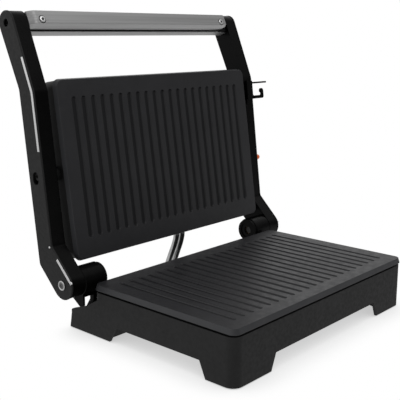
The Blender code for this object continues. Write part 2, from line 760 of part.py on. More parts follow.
# ---------------------------------------------------------------- yoke


def side_of(start, end):
    """Unit vector across a stretch of the arm, towards its rear."""
    along = (end - start).normalized()
    return Vector((along.y, -along.x))


def arm_edge(shrink, rear):
    """One long edge of the arm, from the hinge end to the head."""
    sign = 1 if rear else -1
    lines = []
    for start, end, (start_half, end_half) in zip(ARM_LINE, ARM_LINE[1:], ARM_HALF_WIDTHS):
        across = side_of(start, end) * sign
        begin = start + across * (start_half - shrink)
        finish = end + across * (end_half - shrink)
        lines.append((begin, (finish - begin).normalized(), finish))
    elbow = meet(lines[0][0], lines[0][1], lines[1][0], lines[1][1])
    bend = meet(lines[1][0], lines[1][1], lines[2][0], lines[2][1])
    return lines[0][0], elbow, bend, lines[2][2]


def arm_outline(shrink=0.0):
    start, elbow, bend, end = arm_edge(shrink, True)
    rear = [*fillet(start, elbow, bend, ELBOW_FILLET), *fillet(elbow, bend, end, BEND_FILLET)]
    start, elbow, bend, end = arm_edge(shrink, False)
    front = [*fillet(start, elbow, bend, ELBOW_FILLET), *fillet(elbow, bend, end, BEND_FILLET)]
    head = ARM_LINE[3]
    lean = BAR_LEAN
    head_arc = arc(head, HEAD_RADIUS - shrink, -lean, pi - lean, 12)
    leg_arc = arc(ARM_LINE[0], LEG_RADIUS - shrink, 3 * pi / 4, 7 * pi / 4, 14)
    return leg_arc + rear + head_arc + list(reversed(front))


def front_strip(low, high, near, far):
    """Outline of a strip along the arm between two heights above the hinge, and between two
    distances behind its front edge."""
    start, elbow, bend, end = arm_edge(0.0, False)
    edge = [
        *arc(ARM_LINE[0], LEG_RADIUS, pi, 3 * pi / 4, 5),
        *fillet(start, elbow, bend, ELBOW_FILLET),
        *fillet(elbow, bend, end, BEND_FILLET),
        end,
    ]
    path = []
    for a, b in zip(edge, edge[1:]):
        span = b.y - a.y
        if span <= 0:
            continue
        for height in (low, high):
            if a.y < height <= b.y:
                path.append(a + (b - a) * ((height - a.y) / span))
        if low < b.y < high:
            path.append(b)
    path.sort(key=lambda point: point.y)
    outer, inner = [], []
    for i, point in enumerate(path):
        before = path[max(i - 1, 0)]
        after = path[min(i + 1, len(path) - 1)]
        forward = -side_of(before, after)
        outer.append(point - forward * near)
        inner.append(point - forward * far)
    return inner + list(reversed(outer))


def arm_side(side, sign, frame):
    """One arm: gloss body, textured cover, and the silver trims in the cover's outer face."""
    body_outer = ARM_OUTER - COVER_THICKNESS - GAP
    thickness = body_outer - ARM_INNER
    middle = (sign * (body_outer + ARM_INNER) / 2, 0, 0)
    body = plate_part(f"arm_body_{side}", arm_outline(0.4 * MM), thickness, middle, frame, "black_gloss")
    cover_x = sign * (ARM_OUTER - COVER_THICKNESS / 2)
    cover_mesh = outline_mesh(f"arm_cover_{side}", arm_outline(), COVER_THICKNESS)
    outer_face = sign * COVER_THICKNESS / 2

    def outer_rim(a, b):
        return max(abs(a.x - outer_face), abs(b.x - outer_face)) < 1e-6

    bevel_where(cover_mesh, outer_rim, 0.5 * MM, 1)
    cover = add_object(f"arm_cover_{side}", cover_mesh, frame, "black_textured", (cover_x, 0, 0))

    near, far = TRIM_EDGES
    trim_x = sign * (ARM_OUTER + (TRIM_PROUD - TRIM_SINK) / 2)
    for where, (low, high) in (("upper", UPPER_TRIM), ("lower", LOWER_TRIM)):
        pocket = front_strip(low - GAP, high + GAP, near - GAP, far + GAP)
        depth = TRIM_SINK + GAP
        cut(cover, plate_part(f"pocket_{where}_{side}", pocket, 2 * depth, (sign * ARM_OUTER, 0, 0), frame))
        strip = front_strip(low, high, near, far)
        thickness = TRIM_SINK + TRIM_PROUD
        plate_part(f"arm_trim_{where}_{side}", strip, thickness, (trim_x, 0, 0), frame, "trim_silver")

    pin_hole = rod(f"arm_pin_hole_{side}", middle, "X", 40 * MM, BUSH_BORE, frame, segments=20)
    cut(body, pin_hole)
    cut(cover, rod(f"cover_bolt_hole_{side}", (cover_x, 0, 0), "X", 8 * MM, 2.8 * MM, frame, segments=12))

    depth = 2 * (ARM_OUTER + 1 * MM - COUNTERBORE_FLOOR)
    recess_x = sign * (ARM_OUTER + 1 * MM)
    for what, place, bore, counterbore, drop in (
        ("pivot", lid_point(*LID_PIVOT), LID_PIN_RADIUS + GAP, 4.4 * MM, PIVOT_SLOT_DROP),
        ("head", ARM_LINE[3], 2.5 * MM, 3.7 * MM, 0.1 * MM),
    ):
        centre = (middle[0], place[0], place[1])
        cut(body, rod(f"bore_{what}_{side}", centre, "X", 40 * MM, bore, frame, segments=18))
        slot = arc(place, counterbore, 0, pi, 10)
        slot += arc((place[0], place[1] - drop), counterbore, pi, 2 * pi, 10)
        cutter = plate_part(f"counterbore_{what}_{side}", slot, depth, (recess_x, 0, 0), frame)
        cut(body, cutter)
        cut(cover, cutter)
    return body


def lid_point(along, behind):
    """(Y, Z) from the hinge line of a point on the open lid, along it and behind its cooking face."""
    return (
        along * sin(LID_LEAN) + behind * cos(LID_LEAN),
        along * cos(LID_LEAN) - behind * sin(LID_LEAN),
    )


def stepped_screw(name, sign, place, head_radius, shank_radius, head_length, tip, frame):
    """A fastener along X: its head sits in the arm's counterbore and its shank ends at tip."""
    inner = COUNTERBORE_FLOOR + GAP
    outer = inner + head_length
    screw = rod(name, (sign * (inner + outer) / 2, *place), "X", head_length, head_radius, frame, "steel", 20)
    root = inner + head_length / 2
    shank_x = sign * (root + tip) / 2
    join(screw, rod(f"{name}_shank", (shank_x, *place), "X", root - tip, shank_radius, frame, segments=18))
    socket = (sign * outer, *place)
    cut(screw, rod(f"{name}_socket", socket, "X", 1.6 * MM, head_radius * 0.5, frame, segments=6))


def yoke_fasteners(frame):
    pivot = lid_point(*LID_PIVOT)
    head = ARM_LINE[3]
    for side, sign in SIDES:
        pin = f"lid_pivot_pin_{side}"
        stepped_screw(pin, sign, pivot, 4.0 * MM, LID_PIN_RADIUS, 1.7 * MM, 131 * MM, frame)
        stepped_screw(f"handle_bolt_{side}", sign, head, 3.3 * MM, 2.1 * MM, 1.4 * MM, 134 * MM, frame)


def bar_frame(frame):
    """An empty on the handle bar: x along the bar, y behind its front face, z up its height."""
    return make_empty("handle_bar_frame", frame, (0, BAR_FACE.x, BAR_FACE.y), (-BAR_LEAN, 0, 0))


def handle(frame):
    bar = bar_frame(frame)
    half_x = ARM_INNER - GAP
    plan = [
        Vector((-half_x, FRONT_COVER_DEPTH)),
        *arc((-half_x + 9 * MM, 9 * MM), 9 * MM, pi + radians(20), 1.5 * pi, 5),
        *arc((half_x - 9 * MM, 9 * MM), 9 * MM, 1.5 * pi, 2 * pi - radians(20), 5),
        Vector((half_x, FRONT_COVER_DEPTH)),
    ]
    mesh = outline_mesh("handle_front_cover", plan, 2 * BAR_HALF_HEIGHT, "Z")

    def front_rim(a, b):
        level = abs(abs(a.z) - BAR_HALF_HEIGHT) < 1e-6 and abs(a.z - b.z) < 1e-6
        return level and min(a.y, b.y) < FRONT_COVER_DEPTH - 0.2 * MM

    bevel_where(mesh, front_rim, 3 * MM, 2)
    front = add_object("handle_front_cover", mesh, bar, "satin_aluminium")

    seam_start = FRONT_COVER_DEPTH + GAP
    rear_start = BAR_DEPTH - REAR_COVER_DEPTH
    seam_half = BAR_HALF_HEIGHT - 0.9 * MM
    width = (-half_x, half_x)
    seam = (seam_start, rear_start - GAP)
    core = box("handle_core", width, seam, (-seam_half, seam_half), bar, "black_gloss")
    tongue = (rear_start - 1 * MM, BAR_DEPTH - 2.2 * MM)
    join(core, box("core_tongue", width, tongue, (-6.6 * MM, 6.6 * MM), bar))
    head = ARM_LINE[3] - BAR_FACE
    bolt_y = head.x * cos(BAR_LEAN) - head.y * sin(BAR_LEAN)
    bolt_z = head.x * sin(BAR_LEAN) + head.y * cos(BAR_LEAN)
    for side, sign in SIDES:
        bore_place = (sign * half_x, bolt_y, bolt_z)
        cut(core, rod(f"core_bore_{side}", bore_place, "X", 26 * MM, 2.4 * MM, bar, segments=14))

    back = BAR_DEPTH
    high = BAR_HALF_HEIGHT
    shell = [
        (rear_start, -high),
        *arc((back - 4 * MM, -high + 4 * MM), 4 * MM, -pi / 2, 0, 4),
        *arc((back - 4 * MM, high - 4 * MM), 4 * MM, 0, pi / 2, 4),
        (rear_start, high),
        (rear_start, 6.9 * MM),
        (back - 1.9 * MM, 6.9 * MM),
        (back - 1.9 * MM, -6.9 * MM),
        (rear_start, -6.9 * MM),
    ]
    rear = plate_part("handle_rear_cover", shell, 2 * half_x, (0, 0, 0), bar, "satin_aluminium")

    for side, sign in SIDES:
        x = sign * BAR_SCREW_X
        cut(front, rod(f"bar_screw_pocket_{side}", (x, 0, 0), "Y", 2.4 * MM, 3.4 * MM, bar))
        screw = rod(f"handle_screw_{side}", (x, -0.1 * MM, 0), "Y", 1.4 * MM, 3.1 * MM, bar, "steel", 20)
        socket = (x, -0.9 * MM, 0)
        cut(screw, rod(f"bar_screw_socket_{side}", socket, "Y", 1.4 * MM, 1.6 * MM, bar, segments=6))
    return rear


def pilot_light(frame):
    """A red lens on the outer face of the right arm, near its front edge."""
    dome = [(0, 7.4 * MM), (1.5 * MM, 7.0 * MM), (2.7 * MM, 5.9 * MM), (3.3 * MM, 4.4 * MM)]
    lens = turned(
        "pilot_light",
        [*dome, (3.4 * MM, 0), (0, 0)],
        (ARM_OUTER + GAP, PILOT_PLACE[0], PILOT_PLACE[1]),
        frame,
        "lens_red",
        "X",
        20,
    )
    return lens


# ---------------------------------------------------------------- latch


def latch_frame(frame):
    """An empty on the right arm's front face: x outwards, y to the rear, z up the arm's middle part."""
    start, elbow, bend, _ = arm_edge(0.0, False)
    share = (LATCH_HEIGHT - elbow.y) / (bend.y - elbow.y)
    place = elbow + (bend - elbow) * share
    lean = atan2(bend.x - elbow.x, bend.y - elbow.y)
    return make_empty("latch_frame", frame, (0, place.x, place.y), (-lean, 0, 0))


def latch(frame):
    """A sliding plate with a hook and a thumb tab, and the guide that it slides on."""
    home = latch_frame(frame)
    half = LATCH_BLOCK / 2
    inner, outer = LATCH_BLOCK_X
    reach = LATCH_REACH
    bar = LATCH_BAR
    tip = LATCH_TIP - half
    curl = 3.2 * MM
    hook = [
        (inner, -half),
        *arc((reach - 2.6 * MM, -half + 2.6 * MM), 2.6 * MM, -pi / 2, 0, 4),
        *arc((reach - curl, tip - curl), curl, 0, pi * 0.9, 6),
        (reach - 2 * curl + 0.4 * MM, tip - curl - 1.6 * MM),
        (reach - bar - 0.4 * MM, tip - curl - 1.8 * MM),
        *reversed(arc((reach - bar - 2 * MM, -half + bar + 2 * MM), 2 * MM, -pi / 2, 0, 3)),
        *reversed(arc((outer + 2 * MM, -half + bar + 2 * MM), 2 * MM, pi, 1.5 * pi, 3)),
        (outer, half),
        (inner, half),
    ]
    back = -2 * GAP - GUIDE_SHEET
    front = back - LATCH_DEPTH
    middle = (0, (front + back) / 2, 0)
    slider = plate_part("latch_slider", hook, LATCH_DEPTH, middle, home, "black_gloss", "Y")
    tab_y = (front + 0.2 * MM, back)
    tab_z = (half - 3.6 * MM, half - 1.6 * MM)
    join(slider, box("latch_tab", (outer - 3 * MM, LATCH_TAB_END), tab_y, tab_z, home))
    guide_y = (-GAP - GUIDE_SHEET, -GAP)
    guide_z = (-half - 6 * MM, half)
    guide = box("latch_guide", (inner + 1 * MM, outer - 1 * MM), guide_y, guide_z, home, "black_gloss")
    return guide


# ---------------------------------------------------------------- lid


def lid_block(name, inset, front, frame, material=None):
    """The lid's outline with well rounded back edges or, inset, the hollow inside it."""
    near = PLATE_NEAR - PLATE_DRAFT + 0.8 * MM + inset
    far = PLATE_FAR + PLATE_DRAFT - 0.8 * MM - inset
    half = LID_SHELL_HALF_X - inset
    back = -LID_SHELL_BACK + inset
    bm = bmesh.new()
    bm_box(bm, (-half, half), (near, far), (back, front))
    mesh = bm_mesh(name, bm)
    bevel_where(mesh, lambda a, b: abs(a.z - b.z) > 10 * MM, CORNER_RADIUS - 1 * MM - inset, 4)
    bevel_where(mesh, lambda a, b: abs(a.z - back) < 1e-6 and abs(b.z - back) < 1e-6, 8 * MM - inset, 3)
    return add_object(name, mesh, frame, material)


def lid_housing(frame):
    half = LID_SHELL_HALF_X
    near = PLATE_NEAR - PLATE_DRAFT + 0.8 * MM
    shell = lid_block("lid_housing", 0, -LID_SHELL_FRONT, frame, "black_textured")
    cut(shell, lid_block("lid_cavity", WALL, 5 * MM, frame))
    bore = LID_PIN_RADIUS + 0.5 * MM
    for side, sign in SIDES:
        place = (sign * half, LID_PIVOT[0], -LID_PIVOT[1])
        cut(shell, rod(f"lid_pivot_hole_{side}", place, "X", 16 * MM, bore, frame, segments=24))
    for i, x in enumerate(CONDUIT_X_TOP):
        place = (x, near, -CONDUIT_LID_EXIT[1])
        cut(shell, rod(f"lid_conduit_hole_{i}", place, "Y", 16 * MM, CONDUIT_RADIUS + 2 * GAP, frame))
    return near


def lid_fittings(frame, near):
    half = LID_SHELL_HALF_X
    bore = LID_PIN_RADIUS + 0.5 * MM
    for side, sign in SIDES:
        inner, outer = half + GAP, ARM_INNER - GAP
        span = (outer - inner) / 2
        ring = [(7 * MM, span), (7 * MM, -span), (bore, -span), (bore, span)]
        place = (sign * (inner + outer) / 2, LID_PIVOT[0], -LID_PIVOT[1])
        turned(f"lid_pivot_spacer_{side}", ring, place, frame, "black_hidden", "X", 24)
    for name, x in zip(("a", "b"), CONDUIT_X_TOP):
        ring = [
            (4.15 * MM, -GAP),
            (4.15 * MM, -2.4 * MM),
            (CONDUIT_RADIUS + GAP, -2.4 * MM),
            (CONDUIT_RADIUS + GAP, -GAP),
        ]
        place = (x, near, -CONDUIT_LID_EXIT[1])
        turned(f"conduit_gland_lid_{name}", ring, place, frame, "black_hidden", "Y", 16)


def conduits(frame):
    """Two metal hoses for the lid's wiring, from the foot of the lid to the back of the base."""
    exit_y, exit_z = lid_point(*CONDUIT_LID_EXIT)
    entry = Vector((LEDGE_BACK - HINGE_Y - 1 * MM, CONDUIT_ENTRY_Z - HINGE_Z))
    route = [Vector((exit_y, exit_z)), *[Vector(place) for place in CONDUIT_ROUTE], entry]
    for name, top, bottom in zip(("a", "b"), CONDUIT_X_TOP, CONDUIT_X_BOTTOM):
        controls = []
        for i, place in enumerate(route):
            share = i / (len(route) - 1)
            controls.append(Vector((top + (bottom - top) * min(1, share * 1.3), place.x, place.y)))
        tube(f"conduit_{name}", spline_points(controls, 22), CONDUIT_RADIUS, frame, "conduit_silver")


# ---------------------------------------------------------------- assembly

clear_scene()
PARTS = make_collection("panini_press")
CUTTERS = make_collection("cutters")
MATERIALS = {name: make_material(name) for name in COLOURS}


def build():
    root = make_empty("press_frame", None, (FRAME_SHIFT_X, FRAME_SHIFT_Y, 0))
    base_housing(root)
    base_bottom(root)
    rubber_feet(root)
    base_electrics(root)
    hinge_line = make_empty("hinge_axis", root, (0, HINGE_Y, HINGE_Z))
    lower = make_empty("lower_plate_frame", hinge_line, (0, 0, 0), (0, 0, pi))
    grill_plate("lower_grill_plate", lower)
    heating_parts("lower", lower)

    yoke = make_empty("yoke_frame", hinge_line, (0, 0, 0))
    for side, sign in SIDES:
        hinge_side(side, sign, root, yoke)
        arm_side(side, sign, yoke)
    yoke_fasteners(yoke)
    handle(yoke)
    pilot_light(yoke)
    latch(yoke)

    lid = make_empty("lid_frame", yoke, (0, 0, 0), (pi / 2 - LID_LEAN, 0, 0))
    grill_plate("upper_grill_plate", lid)
    heating_parts("upper", lid)
    near = lid_housing(lid)
    lid_fittings(lid, near)
    conduits(hinge_line)
    for obj in PARTS.objects:
        if obj.type == "MESH":
            obj.data.shade_smooth()
            obj.data.set_sharp_from_angle(angle=radians(35))
    bpy.context.view_layer.update()


build()
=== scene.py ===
"""Looks for the panini press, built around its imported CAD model. Metres, +Z up, front towards -Y."""

import json
from math import cos, pi, radians, sin, sqrt

import bmesh
import bpy
from mathutils import Matrix, Vector


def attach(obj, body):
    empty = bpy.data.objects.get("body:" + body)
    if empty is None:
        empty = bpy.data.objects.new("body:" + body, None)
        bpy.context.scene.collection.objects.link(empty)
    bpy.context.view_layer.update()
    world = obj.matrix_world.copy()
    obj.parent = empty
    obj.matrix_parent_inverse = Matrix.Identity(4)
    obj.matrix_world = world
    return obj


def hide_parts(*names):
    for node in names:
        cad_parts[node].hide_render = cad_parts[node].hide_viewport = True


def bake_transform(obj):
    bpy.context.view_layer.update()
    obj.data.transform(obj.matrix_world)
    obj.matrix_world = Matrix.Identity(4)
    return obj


MM = 0.001

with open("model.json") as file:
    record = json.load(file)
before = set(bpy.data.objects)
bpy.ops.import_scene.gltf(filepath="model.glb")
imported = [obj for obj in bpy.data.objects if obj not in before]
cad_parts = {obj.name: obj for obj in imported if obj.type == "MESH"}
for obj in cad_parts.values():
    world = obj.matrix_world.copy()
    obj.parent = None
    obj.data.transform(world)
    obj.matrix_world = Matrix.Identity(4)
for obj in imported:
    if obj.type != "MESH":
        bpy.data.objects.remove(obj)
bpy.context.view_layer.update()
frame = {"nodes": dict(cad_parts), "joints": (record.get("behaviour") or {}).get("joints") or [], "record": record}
NODES = frame["nodes"]
JOINTS = {joint["name"]: joint for joint in frame["joints"]}
HINGE = Vector(JOINTS["yoke_hinge"]["pos_m"])

# How far the lid and the handle bar lean back, and the bar's front face from the hinge
LID_LEAN = radians(8.32)
BAR_LEAN = radians(23.29)
BAR_FACE = (0, 55.0 * MM, 245.9 * MM)

TO_HINGE = Matrix.Translation(HINGE)
TO_LOWER_PLATE = TO_HINGE @ Matrix.Rotation(pi, 4, "Z")
TO_LID = TO_HINGE @ Matrix.Rotation(pi / 2 - LID_LEAN, 4, "X")
TO_BAR = TO_HINGE @ Matrix.Translation(BAR_FACE) @ Matrix.Rotation(-BAR_LEAN, 4, "X")

SIDES = (("left", -1), ("right", 1))

# Plates, measured from the hinge line along the plate, cooking face at 0
PLATE_NEAR = 19 * MM
PLATE_FAR = 192 * MM
PLATE_FACE_HALF = 138.2 * MM
PLATE_DRAFT = 1.6 * MM
PLATE_SLAB = 5.6 * MM
PLATE_CORNER = 7.5 * MM
PLATE_CORNER_TAPER = 0.6
PLATE_FOOT_CHAMFER = 0.4 * MM
PLATE_EDGE_INSET = 1.2 * MM
PLATE_EDGE_ROUND = 0.5 * MM
PLATE_EDGE_STEPS = 4
PLATE_EDGE_SOFTNESS = 0.22 * MM
SKIRT_INSET = 5.6 * MM
SKIRT_DEPTH = 10 * MM
SKIRT_CORNER = 6 * MM
GROOVE_COUNT = 21
GROOVE_PITCH = 12 * MM
GROOVE_MARGINS = {"lower": (16 * MM, 14 * MM), "upper": (19 * MM, 16 * MM)}
# Groove section, in millimetres: height over the cooking face, and half width there
GROOVE_SECTION = {
    "lower": ((1.0, 3.1), (0.0, 2.2), (-0.7, 1.8), (-1.0, 1.3)),
    "upper": ((1.0, 4.1), (0.0, 3.2), (-0.9, 2.7), (-1.5, 2.3)),
}

# Arm: its outer face, and the centre line of its lowest stretch from the hinge as (Y, Z)
ARM_OUTER = 162 * MM
ELBOW_LINE = (Vector((0, 0)), Vector((24.4, 24.4)) * MM)
ELBOW_HALF_WIDTH = 14.4 * MM

# Lower trim: its ends by height, its edges behind the arm's front edge, and its ridges
LOWER_TRIM = (5.3 * MM, 25.6 * MM)
TRIM_EDGES = (0.9 * MM, 3.9 * MM)
TRIM_SINK = 1.0 * MM
TRIM_PROUD = 0.1 * MM
TRIM_BEVEL = 0.25 * MM
RIDGE_HEIGHT = 0.14 * MM
RIDGE_PITCH = 1.1 * MM
RIDGE_STEPS = 8

# Rivet at the front of each elbow, as (Y, Z) from the hinge
RIVET_PLACE = (16.9 * MM, 34.2 * MM)
RIVET_RADIUS = 1.1 * MM

# Handle bar: x along it, y behind its front face, z up its height
FRONT_TOP = 9.8 * MM
FRONT_BOTTOM = -7.6 * MM
FRONT_END = 143.4 * MM
FRONT_COVER_DEPTH = 6 * MM
FRONT_STRAIGHT = (-60 * MM, 60 * MM, 116 * MM)
# Left end of the front cover: how far it passes FRONT_END, and how far back it curls there
LEFT_REACH = 1.2 * MM
LEFT_CURL = 3.4 * MM
LEFT_STEPS = 8
# Right end: where it starts to curl back and how tightly, and how long its top and bottom take to round off
RIGHT_CURL_START = 136.5 * MM
RIGHT_CURL_RADIUS = 8 * MM
RIGHT_TOP_REACH = 4.5 * MM
RIGHT_BOTTOM_REACH = 20 * MM
RIGHT_STEPS = 16
# The last ring stops just short of the right end, where its height would be zero
RIGHT_LAST = 0.9998
# Facets of the front cover: how far the upper and lower ones lean back, and where they begin
UPPER_LEAN = 0.35 * MM
LOWER_LEAN = 2.2 * MM
UPPER_FACET = 4.0 * MM
LOWER_FACET = -3.2 * MM
FACET_SOFTNESS = 0.5 * MM
# Underside lip of the rear cover, in the bar's own y and z, and how far short of the right end it stops
REAR_LIP_Y = (7.6 * MM, 9.7 * MM)
REAR_LIP_Z = (-9.5 * MM, -8.7 * MM)
REAR_LIP_SHORT = 14 * MM
BAR_SCREW_X = 130.7 * MM
BAR_SCREW_Z = 0.4 * MM
BAR_SCREW_WELL = 4.0 * MM
BAR_SOFTNESS = 0.2 * MM
# A face of the front cover that looks down more than this gets the paler satin, a painted lighter tone for the
# floor's light on the lowest facet
PAINTED_LIGHT_SLOPE = -0.25

# Conduits, as (Y, Z) from the hinge line
CONDUIT_RADIUS = 3.2 * MM
CONDUIT_X_TOP = (14.4 * MM, 23.0 * MM)
CONDUIT_X_BOTTOM = (13.2 * MM, 24.2 * MM)
CONDUIT_ROUTE = [
    Vector((20.08, 17.78)) * MM,
    Vector((19.4, 11)) * MM,
    Vector((21.9, 1.2)) * MM,
    Vector((26.7, -10.3)) * MM,
    Vector((31.6, -22)) * MM,
    Vector((35.2, -33)) * MM,
    Vector((33.2, -41)) * MM,
    Vector((26.5, -43.8)) * MM,
    Vector((19.0, -43.8)) * MM,
]
# Steps along each conduit, the step where its two pieces meet, and how fast the pair takes its lower spacing
CONDUIT_STEPS = 96
CONDUIT_PARTING = 36
CONDUIT_SIDES = 24
CONDUIT_SPREADING = 1.3

# Floor: its size and place, and the soft shadow close under the press
FLOOR_SIZE = 8
FLOOR_DROP = 0.0002
CONTACT_REACH = 0.045
CONTACT_SAMPLES = 12
CONTACT_SHADE = 0.5
CONTACT_CLEAR = 0.85

# Studio: how bright the floor and the room look to everything but the camera, and the key light
FLOOR_BOUNCE = 0.45
ROOM_TOWARDS = (-0.2, 0.85, 0.5)
ROOM_RAMP = (-0.6, 0.5)
ROOM_DARK = 0.15
ROOM_LIGHT = 0.74
KEY_PLACE = Vector((0.4, -1.2, 1.7))
KEY_AIM = Vector((0, 0, 0.1))
KEY_SIZE = 1.0
KEY_POWER = 5

CAMERA_PLACE = (-0.5979, -0.5031, 0.2864)
CAMERA_TILT = radians(77.67)
CAMERA_TURN = radians(-47.89)
CAMERA_LENS = 68.88
CAMERA_SENSOR = 36

# CAD nodes whose look isn't their slot's plain one, by the start of their names
OWN_LOOKS = {
    "handle_bolt": "blackened_steel",
    "lid_pivot_pin": "blackened_steel",
    "hinge_pin": "blackened_steel",
    # The rear cover's paler satin is painted light, for the floor's glow on its underside
    "handle_rear_cover": "pale_satin",
    # The lid housing's darker black is painted shade, for the arm's shadow across the housing's side
    "lid_housing": "lid_black",
}

# CAD nodes whose edges are softened, by the start of their names, and by how much
SOFT_EDGES = {
    "base_housing": 0.45 * MM,
    "lid_housing": 0.8 * MM,
    "arm_body": 0.6 * MM,
    "arm_cover": 0.15 * MM,
    "hinge_barrel": 0.4 * MM,
    "hinge_bracket": 0.4 * MM,
    "handle_core": 0.3 * MM,
    "handle_rear_cover": 0.3 * MM,
    "latch_slider": 0.4 * MM,
    "arm_trim_upper": 0.25 * MM,
}


# ---------------------------------------------------------------- materials


class Look:
    """A Principled material and the nodes that feed it. Its texture space is the object's own metres."""

    # The part of a noise pattern's range that holds nearly all of it
    PATTERN = (0.35, 0.65)

    def __init__(self, name, colour, roughness, metallic=0.0):
        self.material = bpy.data.materials.new(name)
        self.material.use_nodes = True
        self.tree = self.material.node_tree
        self.shader = self.tree.nodes["Principled BSDF"]
        self.shader.inputs["Base Color"].default_value = (*colour, 1)
        self.shader.inputs["Roughness"].default_value = roughness
        self.shader.inputs["Metallic"].default_value = metallic
        self.space = self.tree.nodes.new("ShaderNodeTexCoord").outputs["Object"]

    def link(self, output, to):
        self.tree.links.new(output, to)

    def set(self, **values):
        """Sets inputs of the shader by their names, with underscores for spaces."""
        for key, value in values.items():
            self.shader.inputs[key.replace("_", " ")].default_value = value

    def noise(self, scale, stretch=(1, 1, 1), detail=2.0):
        """A noise pattern. Scale is in cells per metre, divided by stretch along each axis."""
        mapping = self.tree.nodes.new("ShaderNodeMapping")
        mapping.inputs["Scale"].default_value = [scale / s for s in stretch]
        noise = self.tree.nodes.new("ShaderNodeTexNoise")
        noise.inputs["Scale"].default_value = 1.0
        noise.inputs["Detail"].default_value = detail
        self.link(self.space, mapping.inputs["Vector"])
        self.link(mapping.outputs["Vector"], noise.inputs["Vector"])
        return noise.outputs["Fac"]

    def roughen(self, value, low, high):
        """Varies the roughness between two values by a pattern."""
        ramp = map_range(self.tree, *self.PATTERN, low, high)
        self.link(value, ramp.inputs["Value"])
        self.link(ramp.outputs["Result"], self.shader.inputs["Roughness"])

    def tint(self, value, dark, light):
        """Varies the base colour between two colours by a pattern."""
        ramp = self.tree.nodes.new("ShaderNodeValToRGB")
        for stop, place, colour in zip(ramp.color_ramp.elements, self.PATTERN, (dark, light)):
            stop.position = place
            stop.color = (*colour, 1)
        self.link(value, ramp.inputs["Fac"])
        self.link(ramp.outputs["Color"], self.shader.inputs["Base Color"])

    def bump(self, value, height, strength):
        """Raises the surface by height metres where the pattern is high."""
        bump = self.tree.nodes.new("ShaderNodeBump")
        bump.inputs["Strength"].default_value = strength
        bump.inputs["Distance"].default_value = height
        self.link(value, bump.inputs["Height"])
        self.link(bump.outputs["Normal"], self.shader.inputs["Normal"])


def map_range(tree, from_low, from_high, low, high):
    """A node that maps one range of values onto another."""
    ramp = tree.nodes.new("ShaderNodeMapRange")
    ramp.inputs["From Min"].default_value = from_low
    ramp.inputs["From Max"].default_value = from_high
    ramp.inputs["To Min"].default_value = low
    ramp.inputs["To Max"].default_value = high
    return ramp


def grey(level):
    return (level, level, level)


def moulded(name, level, dark, light):
    """Black plastic with a fine moulded texture."""
    look = Look(name, grey(level), 0.55)
    look.bump(look.noise(1500, detail=3), 0.12 * MM, 0.5)
    look.tint(look.noise(45), dark, light)
    look.set(Specular_IOR_Level=0.36)
    return look


def black_looks():
    """The black plastics, paint and rubber."""
    textured = moulded("textured_black_plastic", 0.014, (0.0127, 0.0127, 0.0129), (0.0152, 0.0152, 0.0154))
    textured.roughen(textured.noise(300), 0.5, 0.62)

    gloss = Look("gloss_black_paint", grey(0.002), 0.28)
    gloss.roughen(gloss.noise(120), 0.24, 0.33)
    gloss.bump(gloss.noise(420, detail=3), 0.03 * MM, 0.3)
    gloss.set(Specular_IOR_Level=0.1)

    hidden = Look("plain_black_plastic", grey(0.014), 0.55)
    hidden.bump(hidden.noise(900), 0.05 * MM, 0.3)

    rubber = Look("foot_rubber", grey(0.012), 0.8)
    rubber.bump(rubber.noise(1100), 0.06 * MM, 0.4)
    return {
        "black_textured": textured,
        "black_gloss": gloss,
        "black_hidden": hidden,
        "rubber": rubber,
        # A darker copy of the moulded black for the lid housing: painted shade for the arm's shadow on it
        "lid_black": moulded("lid_painted_shade_plastic", 0.0095, grey(0.0088), grey(0.0102)),
    }


def non_stick(name, colour, roughness, dark, light):
    """A plate's coating, faintly grained and mottled."""
    look = Look(name, colour, roughness)
    look.bump(look.noise(2200, detail=3), 0.06 * MM, 0.4)
    look.tint(look.noise(30), dark, light)
    return look


def plate_looks():
    """The plates' coating, and lighter and darker copies of it: a painted highlight on the slab's sides and
    painted shade in the grooves.
    """
    face = non_stick(
        "non_stick_coating",
        (0.0222, 0.0222, 0.025),
        0.42,
        dark=(0.0202, 0.0202, 0.0229),
        light=(0.0243, 0.0243, 0.0272),
    )
    face.roughen(face.noise(180), 0.38, 0.48)
    # A lighter copy of the coating for the slab's sides: a painted highlight along them
    edge = non_stick(
        "non_stick_painted_highlight",
        (0.042, 0.043, 0.047),
        0.4,
        dark=(0.038, 0.039, 0.043),
        light=(0.046, 0.047, 0.051),
    )
    # A darker copy of the coating for the grooves' floors and ends: painted shade in the grooves
    groove = non_stick(
        "non_stick_painted_shade",
        (0.009, 0.009, 0.0105),
        0.5,
        dark=(0.008, 0.008, 0.0095),
        light=(0.01, 0.01, 0.0115),
    )
    groove.set(Specular_IOR_Level=0.35)
    return {"plate_coating": face, "plate_edge_highlight": edge, "plate_groove_shade": groove}


def brushed(name, level):
    """Aluminium brushed along X."""
    look = Look(name, grey(level), 0.5, 1.0)
    look.roughen(look.noise(900, (60, 1, 1)), 0.46, 0.56)
    look.bump(look.noise(2600, (120, 1, 1)), 0.03 * MM, 0.35)
    look.tint(look.noise(420, (90, 1, 1)), grey(level - 0.04), grey(level + 0.04))
    return look


def bare_metal(name, level, roughness, grain, height, metallic=1.0):
    """Plain metal with a fine grain."""
    look = Look(name, grey(level), roughness, metallic)
    look.bump(look.noise(grain), height, 0.3)
    return look


